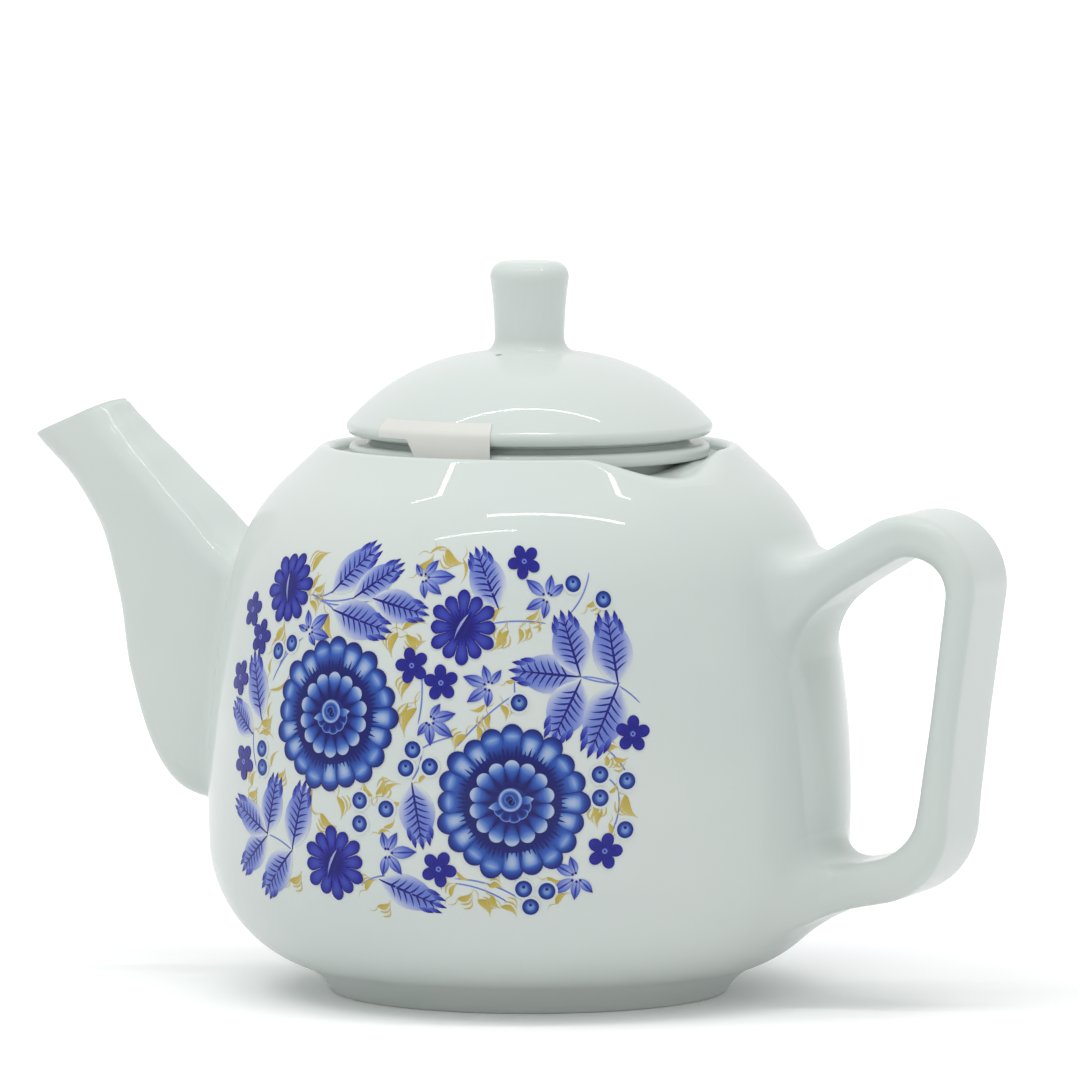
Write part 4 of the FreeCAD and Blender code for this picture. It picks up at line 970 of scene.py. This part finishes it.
# Thin stems: start, end and how far the middle arches to the left.
STEMS = (
    ((-28, 28), (-20, 25), 0.4), ((-28, 28), (-20.5, 29.5), -0.9), ((-26.5, 27.3), (-14.5, 28), -0.7),
    ((-25, 26.8), (-9, 28), -1.2), ((-28.5, 18.5), (-37.5, 8.5), -1.0), ((-32, 17), (-36, 11), -0.4),
    ((-43.5, -3), (-40, -13), -1.0), ((12, -1), (2, -6), -0.8), ((5, -4.5), (3, -10.5), 0.5),
    ((4.2, 13), (4, 1.5), 0.6), ((12.5, -31.5), (27, -36), 1.2), ((12.5, -32.5), (24, -36.5), 0.8),
    ((43, 34.5), (38, 25.5), 0.8), ((46, -10), (48, -12.5), 0.2), ((48, -12.5), (46.5, -21.5), 0.8),
    ((20.5, 23.5), (32.5, 23.5), 0.5), ((25, 8), (13, -3), -0.6), ((40, 12), (53.5, 6), 1.6),
    ((39, 12.5), (49, 10.5), -0.6), ((-36.5, -25), (-29, -27.5), 0.4), ((-9, -33.5), (-3.5, -31.5), 0.4),
    ((44, -2.5), (50, -9), 0.6), ((26.5, 5), (25.5, 11), 0.4),
)

SIDE_LENGTH = run_lengths(SIDE)
SIDE_WAY = np.gradient(SIDE, axis=0)
SIDE_WAY /= np.hypot(SIDE_WAY[:, 0], SIDE_WAY[:, 1])[:, None]
PAINT_START = np.interp(PAINT_HEIGHT, SIDE[:, 1], SIDE_LENGTH)

# Where a petal's round tip starts, as a share of its length
CAP_START = 0.7
LOBE_START = 0.6


def past(s, start, end=1.0):
    """How far a share has come from a start to an end, from 0 to 1."""
    return np.clip((s - start) / (end - start), 0, 1)


def scallop(s, neck=0.5):
    """A broad petal's share of its width, from its neck to a half round tip."""
    cap = past(s, CAP_START)
    return np.minimum(neck + (1.2 - neck) * s, 1) * np.sqrt(1 - cap ** 2)


def necked(s):
    return scallop(s, 0.15)


def lobed(s):
    """A small petal's share of its width: a round lobe on a narrow neck."""
    cap = past(s, LOBE_START)
    return np.sin(np.pi / 2 * np.minimum(s / LOBE_START, 1)) ** 0.8 * np.sqrt(1 - cap ** 2)


def scallop_edge(s, t):
    """How near a spot of such a petal is to its sides and tip, from 0 to 1."""
    cap = past(s, CAP_START)
    return np.hypot(cap, t * np.sqrt(1 - cap ** 2))


def pointed(s):
    """A narrow petal's or tooth's share of its width, with two pointed ends."""
    return np.sin(np.pi * s ** 0.9)


def leafy(s):
    return np.sin(np.pi * s ** 0.85) ** 0.8


def drop(s):
    """A brush stroke's share of its width: full near its start and drawn out to its end."""
    return np.sin(np.pi * s ** 0.55) ** 0.9


def comma(s):
    return np.sin(np.pi * s ** 0.6) ** 1.4


def round_disc(s):
    return np.sqrt(np.clip(1 - (2 * s - 1) ** 2, 0, 1))


def even_line(s):
    return np.minimum(1, 8 * np.minimum(s, 1 - s) + 0.3)


def way_and_side(base, tip):
    """The way from base to tip, and the unit way to its left."""
    way = np.subtract(tip, base)
    return way, np.array([-way[1], way[0]]) / np.hypot(*way)


class Painting:
    """Thin flakes of fired colour on the vessel's side, with tones from bare glaze (0) to full depth (1)."""

    def __init__(self, turn):
        self.turn = turn
        self.level = 0
        self.points = []
        self.tones = []
        self.spans = []
        self.faces = []
        self.face_inks = []
        self.face_tops = []

    def on_side(self, u, v, lift):
        along = PAINT_START + v
        radius, z, run, rise = (
            np.interp(along, SIDE_LENGTH, values) for values in (*SIDE.T, *SIDE_WAY.T)
        )
        angle = math.radians(self.turn) + u / BELLY_RADIUS
        radius = radius + lift * rise
        return np.stack([radius * np.cos(angle), radius * np.sin(angle), z - lift * run], axis=-1)

    def stroke(self, base, tip, width, outline, tone, ink, layer, bend=0.0, rows=9, columns=5):
        """A flake from base to tip; its tone is a function of shares along (0 to 1) and across (-1 to 1)."""
        shares = (1 - np.cos(np.linspace(0, np.pi, rows))) / 2
        s, t = np.meshgrid(shares, np.linspace(-1, 1, columns), indexing="ij")
        way, aside = way_and_side(base, tip)
        offset = np.maximum(outline(s), LEAST_SHARE) * width / 2 * t + bend * 4 * s * (1 - s)
        u = base[0] + s * way[0] + offset * aside[0]
        v = base[1] + s * way[1] + offset * aside[1]
        tones = np.clip(tone(s, t), 0, 1) + 0 * s
        edge = tuple(np.array(grid_border(rows, columns)).T)
        top = self.on_side(u, v, PAINT_LIFT + (self.level + layer) * LAYER_LIFT)
        below = self.on_side(u[edge], v[edge], -FLAKE_SUNK)
        start = sum(len(group) for group in self.points)
        number = start + np.arange(rows * columns).reshape(rows, columns)
        rim = number[edge]
        sunk = start + rows * columns + np.arange(len(rim))
        self.points += [top.reshape(-1, 3), below]
        self.tones += [tones.ravel(), tones[edge]]
        self.spans += [t.ravel(), t[edge]]
        corners = (number[:-1, :-1], number[:-1, 1:], number[1:, 1:], number[1:, :-1])
        tops = np.stack([corner.ravel() for corner in corners], axis=-1).tolist()
        sides = list(zip(rim, np.roll(rim, -1), np.roll(sunk, -1), sunk))
        added = [tuple(face[::-1]) for face in tops] + sides + [tuple(sunk)]
        self.faces += [tuple(int(index) for index in face) for face in added]
        self.face_inks += [ink] * len(added)
        self.face_tops += [True] * len(tops) + [False] * (len(sides) + 1)

    def petal(self, middle, radius, angle, reach, width, *look, **grid):
        """A flake that points away from a flower's middle; reach and width are shares of its radius."""
        base, tip = (polar(middle, share * radius, angle) for share in reach)
        self.stroke(base, tip, width * radius, *look, **grid)

    def disc(self, middle, radius, tone, ink, layer, rows=9):
        """A round flake whose tone is a function of the share of its radius."""
        base = (middle[0] - radius, middle[1])
        tip = (middle[0] + radius, middle[1])

        def radial(s, t):
            return tone(np.hypot(2 * s - 1, t * round_disc(s)))

        self.stroke(base, tip, 2 * radius, round_disc, radial, ink, layer, rows=rows, columns=rows)

    def piece(self, name, inks):
        painted = new_piece(name, np.concatenate(self.points), self.faces, *inks)
        mesh = painted.data
        mesh.polygons.foreach_set("material_index", self.face_inks)
        mesh.polygons.foreach_set("use_smooth", self.face_tops)
        tones = np.concatenate(self.tones)
        mesh.attributes.new("tone", "FLOAT", "POINT").data.foreach_set("value", tones)
        layout = mesh.uv_layers.new(name="OFBake")
        spans = np.concatenate(self.spans)
        for face in mesh.polygons:
            for corner in face.loop_indices:
                point = mesh.loops[corner].vertex_index
                row = (face.material_index + 0.5 + BAKE_SPAN * spans[point]) / len(inks)
                along = BAKE_MARGIN + (1 - 2 * BAKE_MARGIN) * tones[point]
                layout.data[corner].uv = (along, row)
        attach(painted, "pot")


def fading(*knots):
    """A tone that changes along a flake through knots of a share and a tone."""
    shares, tones = zip(*knots)
    return lambda s, t=0.0: np.interp(s, shares, tones)


# Tones along the petals of the large flowers and the asters, and of the discs in the flowers' hearts
CLEAR_HEART = fading((0, 0.9), (0.22, 0.6), (0.38, 0.3), (0.56, 0.15), (0.7, 0.22), (0.86, 0.66), (1, 0.88))
WASHED_HEART = fading((0, 1), (0.35, 0.82), (0.56, 0.52), (0.74, 0.2), (0.88, 0.64), (1, 0.88))
INNER_HEART = fading((0, 1), (0.3, 0.92), (0.55, 0.6), (0.75, 0.38), (0.92, 0.14), (1, 0.2))
ASTER_HEART = fading((0, 0.98), (0.3, 0.8), (0.6, 0.66), (1, 0.84))
DEEP_RING = fading((0.85, 1), (1, 0.84))
BUD_SHELL = fading((0, 0.6), (0.62, 0.66), (0.86, 0.16), (1, 0.4))
BUD_HEART = fading((0, 0.98), (0.6, 0.95), (0.85, 0.3), (1, 0.7))
PHLOX_EYE = fading((0, 0.9), (0.4, 0.8), (0.7, 0.15), (1, 0.8))
BERRY_SKIN = fading((0, 0.26), (0.4, 0.36), (0.75, 0.78), (1, 0.9))
DEEP = 0.9
ASTER_DEEP = 0.92
EDGE_POWER = 2.4


def edged(heart, s, t, share=1.0, deep=DEEP):
    """A petal's tone that deepens from its heart to its edge."""
    return heart + (deep - heart) * scallop_edge(s, t) ** EDGE_POWER * share


def clear_petal(s, t):
    return edged(CLEAR_HEART(s), s, t)


def washed_petal(s, t):
    return edged(WASHED_HEART(s), s, t, past(s, 0.45, 0.75))


def inner_petal(s, t):
    return INNER_HEART(s) + 0.3 * np.abs(t) ** 3 * np.clip(2.6 - 3 * s, 0, 1)


def frilled_petal(s, t):
    return 0.9 - 0.7 * scallop_edge(s, t) ** 3 * np.clip(2 * s - 0.6, 0, 1)


def aster_petal(s, t):
    return edged(ASTER_HEART(s), s, t, deep=ASTER_DEEP)


def paint_dahlia(painting, middle, radius, lean):
    """A large double flower: broad petals, a deep ring with fine spikes, an inner flower and a bud."""
    place = (middle, radius)
    for number in range(20):
        tone = washed_petal if number % 4 < 2 else clear_petal
        reach = (0.45, 1 - 0.025 * (number % 3))
        look = (scallop, tone, COBALT, number % 2)
        painting.petal(*place, lean + 18 * number, reach, 0.3, *look, rows=15, columns=11)
    painting.disc(middle, 0.63 * radius, DEEP_RING, COBALT, 2, 25)
    spike = (drop, fading((0, 1), (1, 0.96)), COBALT, 3)
    for number in range(72):
        reach = (0.5, 0.66 + 0.03 * (number % 3) + 0.02 * (number // 6 % 2))
        painting.petal(*place, lean + 5 * number, reach, 0.045, *spike, rows=4, columns=2)
    for number in range(14):
        look = (necked, inner_petal, COBALT, 4 + number % 2)
        painting.petal(*place, lean + 360 * number / 14, (0.14, 0.545), 0.21, *look, rows=13, columns=9)
    painting.disc(middle, 0.2 * radius, lambda r: 0.98 - 0.2 * r ** 4, COBALT, 6, 11)
    for number, turn in enumerate((-150, -115, -80, -45, -15)):
        look = (necked, frilled_petal, COBALT, 7 + number % 2)
        painting.petal(*place, turn, (0.06, 0.25), 0.16, *look, rows=11, columns=9)
    sepal = (pointed, fading((0, 0.8), (1, 0.14)), COBALT, 9)
    for turn, reach in ((192, 0.3), (12, 0.28)):
        painting.petal(*place, turn, (0.1, reach), 0.11, *sepal, rows=7, columns=5)
    bud = (middle[0] - 0.02 * radius, middle[1] + 0.04 * radius)
    painting.disc(bud, 0.15 * radius, BUD_SHELL, COBALT, 10, 15)
    for turn, reach in ((-60, 0.04), (150, 0.015)):
        heart = polar(bud, reach * radius, turn)
        painting.disc(heart, (0.07 - reach / 3) * radius, BUD_HEART, COBALT, 11, 11)


def paint_aster(painting, middle, radius, lean):
    """A flower of long petals around a long dark heart."""
    place = (middle, radius)
    for number in range(12):
        reach = (0.12, 0.92 + 0.08 * (number % 2))
        look = (necked, aster_petal, VIOLET, number % 2)
        painting.petal(*place, lean + 30 * number, reach, 0.4, *look, rows=11, columns=7)
    streak = (drop, fading((0, 1), (1, 0.9)), VIOLET, 2)
    for number in range(24):
        painting.petal(*place, lean + 15 * number, (0.15, 0.5), 0.07, *streak, rows=4, columns=2)
    ends = [polar(middle, 0.46 * radius, lean + turn) for turn in (0, 180)]
    painting.stroke(*ends, 0.3 * radius, pointed, lambda s, t: 1 - 0.08 * np.abs(t), VIOLET, 3, rows=8)
    ends = [polar(middle, 0.38 * radius, lean + turn) for turn in (6, 174)]
    glint = (pointed, fading((0, 0.16), (1, 0.36)), VIOLET, 4)
    painting.stroke(*ends, 0.07 * radius, *glint, -0.05 * radius, 8, 3)


def paint_phlox(painting, middle, radius, lean):
    """A small deep flower of five round petals."""
    petal = (lobed, lambda s, t: 0.87 + 0.06 * t * t - 0.04 * s, VIOLET, 0)
    vein = (pointed, fading((0, 1), (1, 0.95)), VIOLET, 1)
    for number in range(5):
        angle = lean + 72 * number
        painting.petal(middle, radius, angle, (0.04, 1), 0.68, *petal, rows=13)
        for spread in (-14, 0, 14):
            base = polar(middle, 0.25 * radius, angle + spread / 2)
            tip = polar(middle, 0.8 * radius, angle + spread)
            painting.stroke(base, tip, 0.05 * radius, *vein, rows=4, columns=2)
    painting.disc(middle, 0.16 * radius, PHLOX_EYE, VIOLET, 2, 9)


def paint_star(painting, middle, tips):
    """A small flower of narrow petals with pale bases and dark tips."""
    petal = (pointed, lambda s, t: 0.22 + 0.55 * s ** 2 + 0.16 * np.abs(t) ** 3, VIOLET, 0)
    vein = (pointed, fading((0, 0.55), (1, 0.95)), VIOLET, 1)
    for tip in tips:
        width = 0.36 * math.dist(middle, tip) + 0.3
        painting.stroke(between(middle, tip, 0.12), tip, width, *petal)
        for share, width in ((0.95, 0.5), (0.62, 0.28)):
            start, end = between(middle, tip, 0.3 * share), between(middle, tip, share)
            painting.stroke(start, end, width, *vein, rows=5, columns=3)
        painting.disc(between(middle, tip, 0.2), 0.3, fading((0, 0.95), (1, 0.85)), VIOLET, 2, 5)


VEIN_PAIRS = 7
# A leaf's teeth: shares along it and across its half width
LEAF_TEETH = ((0.74, 0.62), (0.84, 0.42), (0.72, -0.62), (0.84, -0.42), (0.88, 0.0))
LEAF_CORE = fading((0, 0.1), (0.3, 0.36), (0.75, 0.46), (1, 0.26))


def leaf_wash(s, t):
    """A leaf's tone, which fades out at the sides of its base."""
    core = LEAF_CORE(s) * (1 - 0.3 * t * t) + 0.05 * t
    return core * (1 - past(np.abs(t), 0.5) * np.clip(1.2 - 1.6 * s, 0, 1))


def paint_leaf(painting, base, tip, width):
    """A leaf with a soft pale base, a dark midrib with paired veins and a toothed tip."""
    way, aside = way_and_side(base, tip)

    def spot(along, across):
        return np.asarray(base) + along * way + across * width / 2 * aside

    painting.stroke(base, spot(0.97, 0), width, leafy, leaf_wash, VIOLET, 0, rows=13, columns=9)
    tooth = (pointed, fading((0, 0.45), (1, 0.98)), VIOLET, 1)
    for along, across in LEAF_TEETH:
        start, end = spot(along - 0.08, across * 0.98), spot(along + 0.15, across * 0.96)
        painting.stroke(start, end, 0.14 * width, *tooth, rows=6, columns=3)
    midrib = (drop, fading((0, 0.9), (1, 1)), VIOLET, 2)
    painting.stroke(spot(-0.04, 0), spot(0.98, 0), 0.58, *midrib, rows=8, columns=3)
    vein = (drop, fading((0, 0.95), (1, 0.87)), VIOLET, 1)
    for number in range(VEIN_PAIRS):
        along = 0.16 + 0.1 * number
        reach = 0.74 * float(leafy(np.array(along + 0.08)))
        for side in (-1, 1):
            start, end = spot(along, 0), spot(along + 0.11, side * reach)
            painting.stroke(start, end, 0.44, *vein, -0.22 * side, 6, 2)


def paint_berry(painting, middle, radius):
    """A berry with a dark rim, a pale heart, a dot and a soft halo."""
    painting.disc(middle, 1.3 * radius, lambda r: 0.2 * (1 - r) ** 0.7, VIOLET, 0)
    painting.disc(middle, radius, BERRY_SKIN, COBALT, 1, 13)
    eye = (middle[0], middle[1] + 0.25 * radius)
    painting.disc(eye, 0.22 * radius, fading((0, 0.9), (1, 0.8)), COBALT, 2, 5)


# Ochre strokes: how far they spread, the width above which they have hairs, and the hairs' spacing and width
COMMA_SPREAD = 0.95
FROND_WIDTH = 1.15
HAIR_GAP = 1.25
HAIR_WIDTH = 0.46


def paint_comma(painting, start, end, width, arch):
    """An ochre brush stroke with a thin tail, and on a wide one two hair strokes beside it."""
    tone = (comma, lambda s, t: 0.7 - 0.35 * s + 0.1 * t, OCHRE, 1)
    painting.stroke(start, end, COMMA_SPREAD * width, *tone, arch)
    tail = (drop, fading((0, 0.5), (1, 0.3)), OCHRE, 0)
    painting.stroke(start, between(start, end, -0.6), 0.22, *tail, -0.8 * arch, 8, 2)
    hair = (drop, fading((0, 0.55), (1, 0.35)), OCHRE, 0)
    _, aside = way_and_side(start, end)
    for number in (1, 2) if width > FROND_WIDTH else ():
        shift = number * math.copysign(HAIR_GAP, arch) * aside
        last = between(start, end, 1 - 0.15 * number) + 0.6 * shift
        painting.stroke(start + shift, last, HAIR_WIDTH, *hair, 1.3 * arch, 10, 2)


# The levels at which the motifs start, so that none shares a height with one that it overlaps
COMMA_LEVEL = 1
LEAF_LEVEL = 5
STAR_LEVEL = 14
FLOWER_LEVEL = 17
LEAF_SPREAD = 1.12
STEM_WIDTH = 0.36


def paint_flowers(side, inks):
    """The whole ornament on one side of the vessel."""
    painting = Painting(PAINT_TURNS[side])
    stem = (even_line, fading((0, 0.34), (1, 0.44)), VIOLET, 0)
    for start, end, arch in STEMS:
        painting.stroke(start, end, STEM_WIDTH, *stem, arch, 12, 2)
    for number, (start, end, width) in enumerate(COMMAS):
        painting.level = COMMA_LEVEL + 2 * (number % 2)
        paint_comma(painting, start, end, width, 0.2 * math.dist(start, end) * (-1) ** number)
    for number, (base, tip, width) in enumerate(LEAVES):
        painting.level = LEAF_LEVEL + 3 * (number % 3)
        paint_leaf(painting, base, tip, LEAF_SPREAD * width)
    painting.level = STAR_LEVEL
    for middle, *tips in STARS:
        paint_star(painting, middle, tips)
    painting.level = FLOWER_LEVEL
    for number, middle in enumerate(PHLOXES):
        paint_phlox(painting, middle, PHLOX_RADIUS, 90 - 11 * number)
    for place in BERRIES:
        paint_berry(painting, place, BERRY_RADIUS)
    for u, v, lean in ASTERS:
        paint_aster(painting, (u, v), ASTER_RADIUS, lean)
    for middle in DAHLIAS:
        paint_dahlia(painting, middle, DAHLIA_RADIUS, 90)
    painting.piece(f"painted_{side}", inks)


GLAZE_TONE = (0.68, 0.735, 0.71)
INK_TONES = {
    "cobalt": (
        (0.0, GLAZE_TONE), (0.14, (0.46, 0.54, 0.70)), (0.32, (0.16, 0.28, 0.60)),
        (0.52, (0.030, 0.105, 0.46)), (0.72, (0.014, 0.045, 0.28)), (0.88, (0.005, 0.013, 0.18)),
        (1.0, (0.003, 0.005, 0.125)),
    ),
    "violet": (
        (0.0, GLAZE_TONE), (0.16, (0.44, 0.49, 0.70)), (0.34, (0.20, 0.265, 0.63)), (0.5, (0.10, 0.15, 0.55)),
        (0.68, (0.042, 0.066, 0.43)), (0.85, (0.014, 0.014, 0.29)), (1.0, (0.006, 0.005, 0.15)),
    ),
    "ochre": (
        (0.0, GLAZE_TONE), (0.3, (0.60, 0.49, 0.16)), (0.65, (0.50, 0.385, 0.065)), (1.0, (0.33, 0.24, 0.03)),
    ),
}
# How much the grain of the wash lightens or deepens a tone
WASH = 0.05


def ink(name):
    """A fired colour under the glaze, from bare glaze to its full depth by the brush's tone."""
    material, nodes, links, shader = new_material(f"{name}_ink")
    brush = add_node(nodes, "Attribute")
    brush.attribute_name = "tone"
    grain = add_node(nodes, "TexNoise", Scale=700.0, Detail=2.0)
    wash = add_node(nodes, "MapRange", To_Min=-WASH, To_Max=WASH)
    links.new(grain.outputs["Fac"], wash.inputs["Value"])
    depth = add_node(nodes, "Math")
    links.new(brush.outputs["Fac"], depth.inputs[0])
    links.new(wash.outputs["Result"], depth.inputs[1])
    tint = add_ramp(nodes, INK_TONES[name])
    links.new(depth.outputs["Value"], tint.inputs["Fac"])
    links.new(tint.outputs["Color"], shader.inputs["Base Color"])
    set_inputs(shader, **GLAZE)
    return material


# Camera, measured from the photograph
CAMERA_TURN = 21.2
CAMERA_DISTANCE = 2300.0
CAMERA_HEIGHT = 299.0
CAMERA_ASIDE = 2.3
TARGET_HEIGHT = 99.4
LENS_MM = 349.5
SENSOR_MM = 36.0
FAR_METRES = 100.0
# The level ways to the camera's right and towards the camera
TO_RIGHT = Vector((*polar((0, 0), 1, CAMERA_TURN), 0.0))
TO_CAMERA = Vector((*polar((0, 0), 1, CAMERA_TURN - 90), 0.0))


def from_camera(aside, nearer, height):
    """A place so far to the camera's right of the axis, nearer to it and up."""
    return TO_RIGHT * aside + TO_CAMERA * nearer + Vector((0.0, 0.0, height))


def set_camera():
    target = from_camera(CAMERA_ASIDE, 0.0, TARGET_HEIGHT)
    place = from_camera(CAMERA_ASIDE, CAMERA_DISTANCE, CAMERA_HEIGHT)
    lens = bpy.data.cameras.new("photo_camera")
    lens.lens = LENS_MM
    lens.sensor_width = SENSOR_MM
    lens.sensor_height = SENSOR_MM
    lens.sensor_fit = "HORIZONTAL"
    lens.clip_end = FAR_METRES
    camera = add_object("photo_camera", lens)
    camera.location = place * MM
    camera.rotation_euler = (target - place).to_track_quat("-Z", "Y").to_euler()
    bpy.context.scene.camera = camera


def add_softbox(name, place, target, width, height, strength):
    """A lamp that faces the target, with its width across the camera's view."""
    light = bpy.data.lights.new(name, "AREA")
    light.shape = "RECTANGLE"
    light.size = width
    light.size_y = height
    light.energy = strength
    lamp = add_object(name, light)
    lamp.location = place
    back = (Vector(place) - Vector(target)).normalized()
    up = back.cross(TO_RIGHT).normalized()
    lamp.rotation_euler = Matrix((up.cross(back), up, back)).transposed().to_euler()
    return lamp


def seen_rays(nodes, links):
    """One for rays from the camera, a mirror or through glass, and nought for the light on the object."""
    path = add_node(nodes, "LightPath")
    seen = path.outputs["Is Camera Ray"]
    for kind in ("Is Glossy Ray", "Is Transmission Ray"):
        either = add_node(nodes, "Math")
        either.operation = "MAXIMUM"
        links.new(seen, either.inputs[0])
        links.new(path.outputs[kind], either.inputs[1])
        seen = either.outputs["Value"]
    return seen


HORIZON_LIGHT = 0.63
ZENITH_LIGHT = 0.72
SKY_COLOUR = (0.985, 1.0, 0.995, 1)
WHITE = (1.0, 1.0, 1.0, 1)


def set_world():
    """A soft surround, brighter overhead, that the camera sees as white."""
    world = bpy.data.worlds.new("studio")
    world.use_nodes = True
    bpy.context.scene.world = world
    nodes = world.node_tree.nodes
    links = world.node_tree.links
    way = add_node(nodes, "TexCoord")
    parts = add_node(nodes, "SeparateXYZ")
    links.new(way.outputs["Generated"], parts.inputs["Vector"])
    level = add_node(nodes, "MapRange", To_Min=HORIZON_LIGHT, To_Max=ZENITH_LIGHT)
    links.new(parts.outputs["Z"], level.inputs["Value"])
    lighting = nodes["Background"]
    set_inputs(lighting, Color=SKY_COLOUR)
    links.new(level.outputs["Result"], lighting.inputs["Strength"])
    shown = add_node(nodes, "Background", Color=WHITE)
    mix = add_node(nodes, "MixShader")
    links.new(seen_rays(nodes, links), mix.inputs["Fac"])
    links.new(lighting.outputs["Background"], mix.inputs[1])
    links.new(shown.outputs["Background"], mix.inputs[2])
    links.new(mix.outputs["Shader"], nodes["World Output"].inputs["Surface"])


# The floor's side in metres, its tone for light on the object, and the tones that the camera sees
# near the teapot and far from it, with the distances in metres where they start
FLOOR_SIDE = 24.0
FLOOR_TONE = 0.92
NEAR_TONE = 1.15
FAR_TONE = 1.65
NEAR_REACH = 0.25
FAR_REACH = 0.9
TABLE_ROUGHNESS = 0.9


def add_floor():
    """A plain white table top that keeps the teapot's shadow."""
    half = FLOOR_SIDE / 2 / MM
    corners = [(-half, -half, 0), (half, -half, 0), (half, half, 0), (-half, half, 0)]
    floor = new_piece("table_top", corners, [(0, 1, 2, 3)])
    material, nodes, links, shader = new_material("white_table")
    place = add_node(nodes, "TexCoord")
    reach = add_node(nodes, "VectorMath")
    reach.operation = "LENGTH"
    links.new(place.outputs["Object"], reach.inputs[0])
    spread = add_node(
        nodes, "MapRange", From_Min=NEAR_REACH, From_Max=FAR_REACH, To_Min=NEAR_TONE, To_Max=FAR_TONE
    )
    links.new(reach.outputs["Value"], spread.inputs["Value"])
    tone = add_node(nodes, "MapRange", To_Min=FLOOR_TONE)
    links.new(spread.outputs["Result"], tone.inputs["To Max"])
    links.new(seen_rays(nodes, links), tone.inputs["Value"])
    links.new(tone.outputs["Result"], shader.inputs["Base Color"])
    set_inputs(shader, Roughness=TABLE_ROUGHNESS, Specular_IOR_Level=0.0)
    floor.data.materials.append(material)


# Lamps: the place from the camera's view, the width, the depth, in metres, and the power in watts
LAMPS = {
    "key": ((-1.0, 0.3, 1.7), 0.7, 0.7, 4.0),
    "near_strip": ((0.16, 0.32, 1.2), 0.84, 0.03, 2.2),
    "far_strip": ((-0.38, 0.58, 1.2), 0.6, 0.02, 0.8),
    "top_strip": ((-0.05, -0.1, 1.3), 1.2, 0.02, 1.6),
}
LIT_SPOT = (0.0, 0.0, 0.08)


def add_lights():
    """A soft key from the left and three thin strips overhead that lie across the view."""
    for name, (place, width, depth, power) in LAMPS.items():
        lamp = add_softbox(name, from_camera(*place), LIT_SPOT, width, depth, power)
        lamp.visible_glossy = name != "key"


glaze = porcelain()
make_vessel(glaze, biscuit_ware())
make_spout(glaze)
make_handle(glaze)
make_infuser(glaze)
make_lid(glaze)
make_knob(glaze)
make_tape(white_film())
inks = [ink(name) for name in INK_TONES]
for side in PAINT_TURNS:
    paint_flowers(side, inks)
set_camera()
set_world()
add_floor()
add_lights()
bpy.context.scene.view_settings.view_transform = "Standard"
